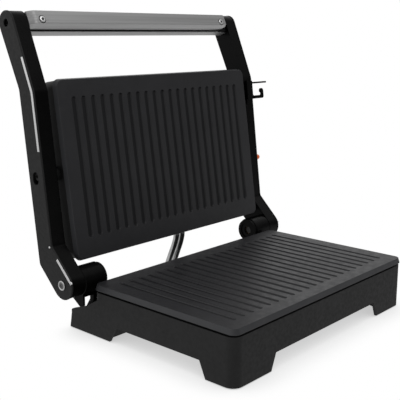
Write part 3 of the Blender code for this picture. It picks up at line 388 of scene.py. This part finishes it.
def metal_looks():
    """The aluminium, steels, bronze and bright trim."""
    element = Look("element_sheath", (0.16, 0.14, 0.13), 0.45, 1.0)
    element.tint(element.noise(120), (0.1, 0.085, 0.08), (0.2, 0.18, 0.17))

    conduit = Look("conduit_metal", grey(0.7), 0.17, 1.0)
    conduit.tint(conduit.noise(150), grey(0.62), grey(0.78))
    conduit.bump(conduit.noise(1500, (1, 1, 6)), 0.02 * MM, 0.3)

    bronze = Look("sintered_bronze", (0.45, 0.29, 0.13), 0.42, 1.0)
    bronze.bump(bronze.noise(1800), 0.04 * MM, 0.4)
    return {
        "satin_aluminium": brushed("satin_aluminium", 0.46),
        # A lighter copy of the satin aluminium: painted light for the floor's glow on the bar's downward faces
        "pale_satin": brushed("painted_light_satin_aluminium", 0.68),
        "trim_silver": bare_metal("bright_trim", 0.96, 0.3, 700, 0.03 * MM, 0.85),
        "steel": bare_metal("plain_steel", 0.72, 0.24, 1400, 0.02 * MM),
        "blackened_steel": bare_metal("blackened_steel", 0.05, 0.34, 1400, 0.03 * MM),
        "dull_steel": bare_metal("dull_steel", 0.22, 0.42, 1400, 0.03 * MM),
        "reflector": bare_metal("reflector_sheet", 0.6, 0.32, 90, 0.2 * MM),
        "element_steel": element,
        "conduit_silver": conduit,
        "bronze": bronze,
    }


def small_looks():
    """The pilot light's lens and the terminal block."""
    lens = Look("pilot_lens", (0.6, 0.085, 0.012), 0.18)
    lens.set(Emission_Color=(1.0, 0.2, 0.03, 1), Emission_Strength=0.25, Coat_Weight=0.6)

    ceramic = Look("terminal_ceramic", (0.75, 0.73, 0.68), 0.45)
    ceramic.tint(ceramic.noise(200), (0.7, 0.68, 0.62), (0.8, 0.78, 0.73))
    return {"lens_red": lens, "ceramic": ceramic}


def make_looks():
    """Every material by its look's name: the record's slots, and the extra tones within them."""
    looks = {**black_looks(), **plate_looks(), **metal_looks(), **small_looks()}
    return {slot: look.material for slot, look in looks.items()}


LOOKS = make_looks()


# ---------------------------------------------------------------- the CAD nodes


def entry_for(table, node, default=None):
    """The table's entry for a node, where each key is the start of a node's name."""
    return next((value for start, value in table.items() if node.startswith(start)), default)


def dress_frame():
    """Gives every CAD node the look of its slot, or its own where OWN_LOOKS names it."""
    slots = {part["node"]: part["material_slot"] for part in frame["record"]["subparts"]}
    for name, node in NODES.items():
        node.data.materials.clear()
        node.data.materials.append(LOOKS[entry_for(OWN_LOOKS, name, slots[name])])


def add_bevel(obj, width, segments, angle):
    """Rounds an object's edges that are sharper than the angle, in degrees."""
    bevel = obj.modifiers.new("bevel", "BEVEL")
    bevel.width = width
    bevel.segments = segments
    bevel.limit_method = "ANGLE"
    bevel.angle_limit = radians(angle)
    bevel.use_clamp_overlap = True


def add_shading(obj, keep_sharp):
    """Keeps flat faces flat in the shading."""
    shade = obj.modifiers.new("shade", "WEIGHTED_NORMAL")
    shade.weight = 80
    shade.keep_sharp = keep_sharp


def soften_frame():
    """Fine rounded edges on CAD nodes, by modifiers alone."""
    for name, node in NODES.items():
        width = entry_for(SOFT_EDGES, name)
        if width:
            weld = node.modifiers.new("weld", "WELD")
            weld.merge_threshold = 0.01 * MM
            add_bevel(node, width, 3, 28)
            add_shading(node, False)


# ---------------------------------------------------------------- mesh helpers


def arc(centre, radius, start, end, steps):
    """Points along an arc, both ends included."""
    turns = [start + (end - start) * i / steps for i in range(steps + 1)]
    return [Vector((centre[0] + radius * cos(turn), centre[1] + radius * sin(turn))) for turn in turns]


def add_skin(bm, rings):
    """Adds a closed skin through rings that have equal numbers of points."""
    made = [[bm.verts.new(place) for place in ring] for ring in rings]
    for ring, following in zip(made, made[1:]):
        for i in range(len(ring)):
            j = (i + 1) % len(ring)
            bm.faces.new((ring[i], ring[j], following[j], following[i]))
    bm.faces.new(list(reversed(made[0])))
    bm.faces.new(made[-1])


def finished_mesh(name, bm):
    """The mesh of a finished bmesh, its faces outwards."""
    bmesh.ops.recalc_face_normals(bm, faces=bm.faces)
    mesh = bpy.data.meshes.new(name)
    bm.to_mesh(mesh)
    bm.free()
    return mesh


def loft(name, rings):
    """A closed mesh through rings that have equal numbers of points."""
    bm = bmesh.new()
    add_skin(bm, rings)
    return finished_mesh(name, bm)


def lathe(profile, steps):
    """A closed solid turned about Z from a profile of (radius, height)."""
    bm = bmesh.new()
    rings = []
    for radius, height in profile:
        if radius == 0:
            rings.append([bm.verts.new((0, 0, height))])
            continue
        turns = [2 * pi * k / steps for k in range(steps)]
        rings.append([bm.verts.new((radius * cos(t), radius * sin(t), height)) for t in turns])
    for first, second in zip(rings, rings[1:] + rings[:1]):
        if len(first) == 1 and len(second) == 1:
            continue
        for k in range(steps):
            j = (k + 1) % steps
            if len(first) == 1:
                bm.faces.new((first[0], second[j], second[k]))
            elif len(second) == 1:
                bm.faces.new((first[k], first[j], second[0]))
            else:
                bm.faces.new((first[k], first[j], second[j], second[k]))
    return finished_mesh("turned", bm)


def disc(radius, low, high, steps):
    """A plain round plate, its axis Z."""
    return lathe([(0, low), (radius, low), (radius, high), (0, high)], steps)


def dome(flat, curve, level, rise, steps=6):
    """A profile's curved shoulder: from radius flat + curve at level, in to flat at level + rise."""
    turns = [pi / 2 * i / steps for i in range(steps + 1)]
    return [(flat + curve * cos(t), level + rise * sin(t)) for t in turns]


def hexagon_cutter(radius, low, high):
    """A hexagonal prism for a socket, its axis Z."""
    corners = [(radius * cos(pi / 3 * k), radius * sin(pi / 3 * k)) for k in range(6)]
    return loft("hexagon", [[(x, y, z) for x, y in corners] for z in (low, high)])


def loose_piece(name, mesh, place, slot, replaced=(), smooth=32, look=None):
    """A finished piece in the row frame, not yet on a body."""
    mesh.transform(place)
    mesh.materials.clear()
    mesh.materials.append(LOOKS[look or slot])
    mesh.shade_smooth()
    mesh.set_sharp_from_angle(angle=radians(smooth))
    piece = linked_object(name, mesh)
    add_shading(piece, True)
    if replaced:
        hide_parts(*replaced)
    return piece


def new_piece(name, mesh, place, slot, body, replaced=(), smooth=32, look=None):
    """A finished piece in the row frame that rides on a body."""
    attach(loose_piece(name, mesh, place, slot, replaced, smooth, look), body)


def set_face_looks(mesh, looks, chosen):
    """Adds looks to a finished piece's own and gives each face one: 0 is its own, 1 the first added."""
    for look in looks:
        mesh.materials.append(LOOKS[look])
    mesh.polygons.foreach_set("material_index", chosen)


def evaluated_mesh(obj):
    """An object's mesh with its modifiers applied."""
    bpy.context.view_layer.update()
    depsgraph = bpy.context.evaluated_depsgraph_get()
    return bpy.data.meshes.new_from_object(obj.evaluated_get(depsgraph))


def linked_object(name, mesh):
    """A new object in the scene."""
    obj = bpy.data.objects.new(name, mesh)
    bpy.context.scene.collection.objects.link(obj)
    return obj


def cut_mesh(base, cutter):
    """One mesh less another, by an exact Boolean that uses both up."""
    first, second = linked_object("first", base), linked_object("second", cutter)
    modifier = first.modifiers.new("cut", "BOOLEAN")
    modifier.operation = "DIFFERENCE"
    modifier.solver = "EXACT"
    modifier.object = second
    result = evaluated_mesh(first)
    bpy.data.objects.remove(first)
    bpy.data.objects.remove(second)
    return result


def rounded_mesh(mesh, width, angle):
    """The mesh with its sharp edges rounded."""
    holder = linked_object("holder", mesh)
    add_bevel(holder, width, 2, angle)
    result = evaluated_mesh(holder)
    bpy.data.objects.remove(holder)
    return result


# ---------------------------------------------------------------- grill plates


def groove_cutter(which):
    """All the grooves of a plate: round-ended troughs with sloping walls and a narrower floor."""
    bm = bmesh.new()
    section = GROOVE_SECTION[which]
    near_margin, far_margin = GROOVE_MARGINS[which]
    half = section[1][1] * MM
    near = PLATE_NEAR + near_margin + half
    far = PLATE_FAR - far_margin - half
    for i in range(GROOVE_COUNT):
        x = (i - (GROOVE_COUNT - 1) / 2) * GROOVE_PITCH
        rings = []
        for level, radius in section:
            outline = arc((x, near), radius * MM, pi, 2 * pi, 8) + arc((x, far), radius * MM, 0, pi, 8)
            rings.append([(p.x, p.y, level * MM) for p in outline])
        add_skin(bm, rings)
    return finished_mesh("grooves", bm)


def plate_outline(inset, radius, level):
    """The plate's rounded outline at a height, drawn in from its rim."""
    half = PLATE_FACE_HALF + PLATE_DRAFT - inset
    near = PLATE_NEAR - PLATE_DRAFT + inset
    far = PLATE_FAR + PLATE_DRAFT - inset
    points = []
    for x, y, start in (
        (half - radius, near + radius, -pi / 2),
        (half - radius, far - radius, 0),
        (radius - half, far - radius, pi / 2),
        (radius - half, near + radius, pi),
    ):
        points += arc((x, y), radius, start, start + pi / 2, 8)
    return [(p.x, p.y, level) for p in points]


def plate_rim():
    """The slab's edge from its underside to the cooking face, as (inset, level)."""
    rim = [(PLATE_FOOT_CHAMFER, -PLATE_SLAB), (0.0, -PLATE_SLAB + PLATE_FOOT_CHAMFER)]
    for i in range(PLATE_EDGE_STEPS + 1):
        turn = pi / 2 * i / PLATE_EDGE_STEPS
        inset = PLATE_EDGE_INSET + PLATE_EDGE_ROUND * (1 - cos(turn))
        rim.append((inset, PLATE_EDGE_ROUND * (sin(turn) - 1)))
    return rim


def grill_plate(which, place, body):
    """A slab with a soft rounded rim, a skirt behind it and a row of grooves."""
    rings = [plate_outline(SKIRT_INSET, SKIRT_CORNER, level) for level in (-SKIRT_DEPTH, -PLATE_SLAB)]
    for inset, level in plate_rim():
        rings.append(plate_outline(inset, PLATE_CORNER - PLATE_CORNER_TAPER * inset, level))
    mesh = cut_mesh(loft("slab", rings), groove_cutter(which))
    mesh = rounded_mesh(mesh, PLATE_EDGE_SOFTNESS, 24)
    # Faces on the slab's sides get the painted highlight, those deep in the grooves the painted shade
    looks = [plate_look(face) for face in mesh.polygons]
    replaced = [f"{which}_grill_plate"]
    new_piece(f"{which}_plate_ribbed", mesh, place, "plate_coating", body, replaced, 40)
    set_face_looks(mesh, ["plate_edge_highlight", "plate_groove_shade"], looks)


def plate_look(face):
    """Which coating a face has: 1 on the slab's sides, a lighter copy that paints a highlight there, 2 on the
    grooves' floors and ends, a darker copy that paints shade there, else 0.
    """
    middle = face.center
    margin = PLATE_DRAFT + 0.4 * MM
    across = abs(middle.x) > PLATE_FACE_HALF - margin
    along = not PLATE_NEAR + margin < middle.y < PLATE_FAR - margin
    if across or along:
        return int(abs(face.normal.z) < 0.6 and middle.z > -PLATE_SLAB)
    sunk = -PLATE_SLAB / 2 < middle.z < -0.3 * MM
    return 2 if sunk and abs(face.normal.x) < 0.6 else 0


# ---------------------------------------------------------------- conduits


def spline_points(controls, count):
    """Points evenly spread in parameter along a Catmull-Rom curve through the controls."""
    padded = [controls[0] * 2 - controls[1], *controls, controls[-1] * 2 - controls[-2]]
    points = []
    for i in range(count + 1):
        place = i / count * (len(controls) - 1)
        k = min(int(place), len(controls) - 2)
        t = place - k
        a, b, c, d = padded[k : k + 4]
        square = 2 * a - 5 * b + 4 * c - d
        cube = 3 * b - a - 3 * c + d
        points.append((2 * b + (c - a) * t + square * t**2 + cube * t**3) / 2)
    return points


def tube_mesh(points, radius, sides):
    """A tube along points, with no twist."""
    rings = []
    side = Vector((1, 0, 0))
    for i, point in enumerate(points):
        ahead = points[min(i + 1, len(points) - 1)] - points[max(i - 1, 0)]
        along = ahead.normalized()
        side = (side - along * side.dot(along)).normalized()
        up = along.cross(side)
        turns = [2 * pi * k / sides for k in range(sides)]
        rings.append([point + (side * cos(t) + up * sin(t)) * radius for t in turns])
    return loft("tube", rings)


def conduit_stretch(name, points, replaced=()):
    """One piece of a conduit, not yet on a body."""
    mesh = tube_mesh(points, CONDUIT_RADIUS, CONDUIT_SIDES)
    return loose_piece(name, mesh, Matrix(), "conduit_silver", replaced)


def conduits():
    """Two smooth metal hoses, each made as an upper and a lower piece."""
    for name, top, bottom in zip(("a", "b"), CONDUIT_X_TOP, CONDUIT_X_BOTTOM):
        controls = []
        for i, place in enumerate(CONDUIT_ROUTE):
            share = min(1, i / (len(CONDUIT_ROUTE) - 1) * CONDUIT_SPREADING)
            controls.append(HINGE + Vector((top + (bottom - top) * share, place.x, place.y)))
        points = spline_points(controls, CONDUIT_STEPS)
        upper, lower = points[: CONDUIT_PARTING + 1], points[CONDUIT_PARTING:]
        stretch = conduit_stretch(f"conduit_{name}_upper", upper)
        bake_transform(stretch)
        stretch = conduit_stretch(f"conduit_{name}_lower", lower, [f"conduit_{name}"])
        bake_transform(stretch)


# ---------------------------------------------------------------- handle bar


def bar_section():
    """Outline of the front cover across the bar as (y, z): three facets with soft edges between them."""
    top, bottom = FRONT_TOP, FRONT_BOTTOM
    return [
        (FRONT_COVER_DEPTH, top),
        (UPPER_LEAN + 0.9 * MM, top),
        (UPPER_LEAN + 0.3 * MM, top - 0.25 * MM),
        (UPPER_LEAN, top - 0.9 * MM),
        (0.1 * MM, UPPER_FACET + FACET_SOFTNESS),
        (0.0, UPPER_FACET - FACET_SOFTNESS),
        (0.0, LOWER_FACET + FACET_SOFTNESS),
        (0.12 * MM, LOWER_FACET - FACET_SOFTNESS),
        (LOWER_LEAN, bottom + 0.7 * MM),
        (LOWER_LEAN + 0.3 * MM, bottom + 0.2 * MM),
        (LOWER_LEAN + 0.8 * MM, bottom),
        (FRONT_COVER_DEPTH, bottom),
    ]


def bar_ring(x, recess=0.0, upper=1.0, lower=1.0):
    """The section at x, its front drawn back by recess and its heights above and below the middle scaled."""
    ring = []
    for y, z in bar_section():
        height = z * (upper if z > 0 else lower)
        ring.append((x, y + recess * (1 - y / FRONT_COVER_DEPTH), height))
    return ring


def left_end_rings():
    """The front curls back a little, so that it ends behind the left arm's edge."""
    rings = []
    for i in range(LEFT_STEPS + 1):
        recess = LEFT_CURL * (1 - sin(pi / 2 * i / LEFT_STEPS))
        rings.append(bar_ring(-FRONT_END - LEFT_REACH + i * MM, recess))
    return rings


def right_end_rings():
    """The front curls back and its top and bottom round off to the end's middle."""
    start = FRONT_END - RIGHT_BOTTOM_REACH - 1 * MM
    rings = []
    for i in range(RIGHT_STEPS + 1):
        x = start + (FRONT_END - start) * min(RIGHT_LAST, sin(pi / 2 * i / RIGHT_STEPS))
        top = max(0.0, x - (FRONT_END - RIGHT_TOP_REACH)) / RIGHT_TOP_REACH
        bottom = max(0.0, x - (FRONT_END - RIGHT_BOTTOM_REACH)) / RIGHT_BOTTOM_REACH
        recess = RIGHT_CURL_RADIUS - sqrt(RIGHT_CURL_RADIUS**2 - max(0.0, x - RIGHT_CURL_START) ** 2)
        rings.append(bar_ring(x, recess, sqrt(1 - top**2), sqrt(1 - bottom**2)))
    return rings


def handle_front():
    """The bar's front cover: faceted along its length, its left end curled back and its right end rounded."""
    rings = left_end_rings() + [bar_ring(x) for x in FRONT_STRAIGHT] + right_end_rings()
    mesh = loft("front_cover", rings)
    for _, sign in SIDES:
        pocket = disc(BAR_SCREW_WELL, -2 * MM, 1.2 * MM, 40)
        pocket.transform(bar_screw_place(sign) @ Matrix.Rotation(pi, 4, "X"))
        mesh = cut_mesh(mesh, pocket)
    mesh = rounded_mesh(mesh, BAR_SOFTNESS, 34)
    # Faces that look down get the paler satin, a painted lighter tone for the floor's light on them
    looks = [int(face.normal.z < PAINTED_LIGHT_SLOPE) for face in mesh.polygons]
    new_piece("handle_front_faceted", mesh, TO_BAR, "satin_aluminium", "yoke", ["handle_front_cover"], 22)
    set_face_looks(mesh, ["pale_satin"], looks)


def rear_lip():
    """A lip that carries the rear cover's underside forward, so the seam below the bar stays narrow."""
    (front, back), (low, high) = REAR_LIP_Y, REAR_LIP_Z
    section = [(front, low), (back, low), (back, high), (front, high)]
    rings = [[(x, y, z) for y, z in section] for x in (-FRONT_END, FRONT_END - REAR_LIP_SHORT)]
    mesh = loft("rear_lip", rings)
    # Its paler satin is painted light, for the floor's glow on the underside
    new_piece("handle_rear_lip", mesh, TO_BAR, "satin_aluminium", "yoke", (), 30, "pale_satin")


def bar_screw_place(sign):
    """A bar screw's place on the bar, its Z axis out of the front face."""
    return Matrix.Translation((sign * BAR_SCREW_X, 0, BAR_SCREW_Z)) @ Matrix.Rotation(pi / 2, 4, "X")


def bar_screws():
    """Bright button screws, each in a well in the bar's front. A dark cup lining each well and a dark disc in each
    hexagon socket are painted shade for those recesses.
    """
    for side, sign in SIDES:
        place = TO_BAR @ bar_screw_place(sign)
        profile = [(3.15 * MM, -0.5 * MM), *dome(1.9 * MM, 1.25 * MM, 0.35 * MM, 0.55 * MM)]
        profile += [(0, 0.9 * MM), (0, -0.5 * MM)]
        head = cut_mesh(lathe(profile, 48), hexagon_cutter(1.75 * MM, -0.1 * MM, 2 * MM))
        replaced = [f"handle_screw_{side}"]
        new_piece(f"bar_screw_{side}", head, place, "steel", "yoke", replaced, 30, "trim_silver")
        # The dark cup that lines each well is painted shade for the recess
        floor, rim = (3.3 * MM, -0.6 * MM), (3.9 * MM, -0.3 * MM)
        well = lathe([(0, -1.1 * MM), (rim[0], -1.1 * MM), rim, floor, (0, floor[1])], 40)
        new_piece(f"bar_screw_shade_well_{side}", well, place, "black_gloss", "yoke")
        # The dark disc at the socket's floor is painted shade in the socket
        plug = disc(1.4 * MM, -0.2 * MM, 0.05 * MM, 24)
        new_piece(f"bar_screw_socket_{side}", plug, place, "steel", "yoke", (), 30, "blackened_steel")


# ---------------------------------------------------------------- arms


def outer_face(sign, y=0.0, z=0.0):
    """A place on an arm's outer face, measured from the hinge, its Z axis outwards."""
    return TO_HINGE @ Matrix.Translation((sign * ARM_OUTER, y, z)) @ Matrix.Rotation(sign * pi / 2, 4, "Y")


def elbow_front_edge():
    """The front edge of the arm's lowest stretch, as its two ends (Y, Z) from the hinge."""
    start, end = ELBOW_LINE
    along = (end - start).normalized()
    across = Vector((-along.y, along.x)) * ELBOW_HALF_WIDTH
    return start + across, end + across


def trim_section(top_x):
    """The trim's section as (x, distance behind the arm's front edge), for one height of its top."""
    near, far = TRIM_EDGES
    base_x = ARM_OUTER - TRIM_SINK
    return [
        (base_x, near),
        (base_x, far),
        (top_x - TRIM_BEVEL, far),
        (top_x, far - 0.3 * MM),
        (top_x, near + 0.3 * MM),
        (top_x - TRIM_BEVEL, near),
    ]


def ridged_trims():
    """The short lower trims: bright strips with fine ridges across them."""
    start, end = elbow_front_edge()
    along = (end - start).normalized()
    behind = Vector((along.y, -along.x))
    low, high = LOWER_TRIM
    first = start + along * ((low - start.y) / along.y)
    length = (high - low) / along.y
    count = int(length / RIDGE_PITCH) * RIDGE_STEPS
    for side, sign in SIDES:
        rings = []
        for i in range(count + 1):
            place = first + along * (length * i / count)
            ridge = RIDGE_HEIGHT * (1 - cos(2 * pi * i / RIDGE_STEPS)) / 2
            ring = []
            for x, distance in trim_section(ARM_OUTER + TRIM_PROUD - RIDGE_HEIGHT + ridge):
                point = place + behind * distance
                ring.append((sign * x, point.x, point.y))
            rings.append(ring)
        replaced = [f"arm_trim_lower_{side}"]
        new_piece(f"ridged_trim_{side}", loft("ridges", rings), TO_HINGE, "trim_silver", "yoke", replaced, 30)


def hinge_bolts():
    """Each arm's hinge bolt: a bright raised ring round a dull, recessed centre with a hexagon socket."""
    floor = 0.3 * MM
    turns = [pi * i / 8 for i in range(9)]
    for side, sign in SIDES:
        place = outer_face(sign)
        ring = [(3.3 * MM, floor), (4.8 * MM, floor)]
        ring += [(4.05 * MM + 0.75 * MM * cos(t), 0.9 * MM + 0.45 * MM * sin(t)) for t in turns]
        replaced = [f"hinge_bolt_{side}"]
        new_piece(f"hinge_bolt_ring_{side}", lathe(ring, 56), place, "steel", "yoke", replaced, 40)
        centre = [(3.2 * MM, floor), (3.2 * MM, 0.6 * MM), (2.4 * MM, 0.95 * MM), (0, 0.95 * MM), (0, floor)]
        core = cut_mesh(lathe(centre, 48), hexagon_cutter(1.7 * MM, 0.45 * MM, 2 * MM))
        new_piece(f"hinge_bolt_core_{side}", core, place, "steel", "yoke", (), 30, "dull_steel")


def elbow_rivets():
    """A tiny bright rivet head at the front of each elbow."""
    for side, sign in SIDES:
        curve = dome(0, RIVET_RADIUS, 0.35 * MM, 0.6 * MM)
        crown = (0, curve[-1][1])
        head = lathe([(0, 0.05 * MM), (RIVET_RADIUS, 0.05 * MM), *curve[:-1], crown], 32)
        new_piece(f"elbow_rivet_{side}", head, outer_face(sign, *RIVET_PLACE), "trim_silver", "yoke", (), 40)


# ---------------------------------------------------------------- stage, lights and camera


def camera_mix(tree, seen, unseen, output):
    """Shows one shader to the camera and the other to everything else."""
    path = tree.nodes.new("ShaderNodeLightPath")
    mix = tree.nodes.new("ShaderNodeMixShader")
    tree.links.new(path.outputs["Is Camera Ray"], mix.inputs["Fac"])
    tree.links.new(unseen, mix.inputs[1])
    tree.links.new(seen, mix.inputs[2])
    tree.links.new(mix.outputs["Shader"], output)


def make_stage():
    """White paper: it darkens only close under the press, as a soft contact shadow."""
    bpy.ops.mesh.primitive_plane_add(size=FLOOR_SIZE, location=(0, 0, -FLOOR_DROP))
    floor = bpy.context.active_object
    floor.name = "floor"
    material = bpy.data.materials.new("floor_paper")
    material.use_nodes = True
    tree = material.node_tree
    tree.nodes.clear()
    output = tree.nodes.new("ShaderNodeOutputMaterial")
    near = tree.nodes.new("ShaderNodeAmbientOcclusion")
    near.inputs["Distance"].default_value = CONTACT_REACH
    near.samples = CONTACT_SAMPLES
    ramp = tree.nodes.new("ShaderNodeValToRGB")
    ramp.color_ramp.elements[0].color = (*grey(CONTACT_SHADE), 1)
    ramp.color_ramp.elements[1].color = (1, 1, 1, 1)
    ramp.color_ramp.elements[1].position = CONTACT_CLEAR
    glow = tree.nodes.new("ShaderNodeEmission")
    bounce = tree.nodes.new("ShaderNodeEmission")
    bounce.inputs["Color"].default_value = (*grey(FLOOR_BOUNCE), 1)
    tree.links.new(near.outputs["AO"], ramp.inputs["Fac"])
    tree.links.new(ramp.outputs["Color"], glow.inputs["Color"])
    camera_mix(tree, glow.outputs["Emission"], bounce.outputs["Emission"], output.inputs["Surface"])
    floor.data.materials.append(material)


def make_world():
    """White to the camera. To all else it is a room, light behind and above the press and dark in front."""
    world = bpy.data.worlds.new("studio")
    bpy.context.scene.world = world
    world.use_nodes = True
    tree = world.node_tree
    tree.nodes.clear()
    output = tree.nodes.new("ShaderNodeOutputWorld")
    white = tree.nodes.new("ShaderNodeBackground")
    white.inputs["Color"].default_value = (1, 1, 1, 1)
    room = tree.nodes.new("ShaderNodeBackground")
    place = tree.nodes.new("ShaderNodeTexCoord")
    dot = tree.nodes.new("ShaderNodeVectorMath")
    dot.operation = "DOT_PRODUCT"
    dot.inputs[1].default_value = ROOM_TOWARDS
    ramp = map_range(tree, *ROOM_RAMP, ROOM_DARK, ROOM_LIGHT)
    tree.links.new(place.outputs["Generated"], dot.inputs[0])
    tree.links.new(dot.outputs["Value"], ramp.inputs["Value"])
    tree.links.new(ramp.outputs["Result"], room.inputs["Color"])
    camera_mix(tree, white.outputs["Background"], room.outputs["Background"], output.inputs["Surface"])


def make_key_light():
    light = bpy.data.lights.new("key", "AREA")
    light.size = KEY_SIZE
    light.energy = KEY_POWER
    obj = bpy.data.objects.new("key", light)
    obj.location = KEY_PLACE
    obj.rotation_euler = (KEY_AIM - KEY_PLACE).to_track_quat("-Z", "Y").to_euler()
    bpy.context.scene.collection.objects.link(obj)


def make_camera():
    camera = bpy.data.cameras.new("camera")
    camera.sensor_width = CAMERA_SENSOR
    camera.lens = CAMERA_LENS
    obj = bpy.data.objects.new("camera", camera)
    obj.location = CAMERA_PLACE
    obj.rotation_euler = (CAMERA_TILT, 0, CAMERA_TURN)
    bpy.context.scene.collection.objects.link(obj)
    bpy.context.scene.camera = obj


def set_view():
    scene = bpy.context.scene
    scene.view_settings.view_transform = "Standard"
    scene.view_settings.look = "None"
    scene.render.film_transparent = False
    scene.cycles.max_bounces = 8


dress_frame()
soften_frame()
grill_plate("lower", TO_LOWER_PLATE, "base")
grill_plate("upper", TO_LID, "lid")
conduits()
handle_front()
rear_lip()
bar_screws()
ridged_trims()
hinge_bolts()
elbow_rivets()

make_stage()
make_world()
make_key_light()
make_camera()
set_view()
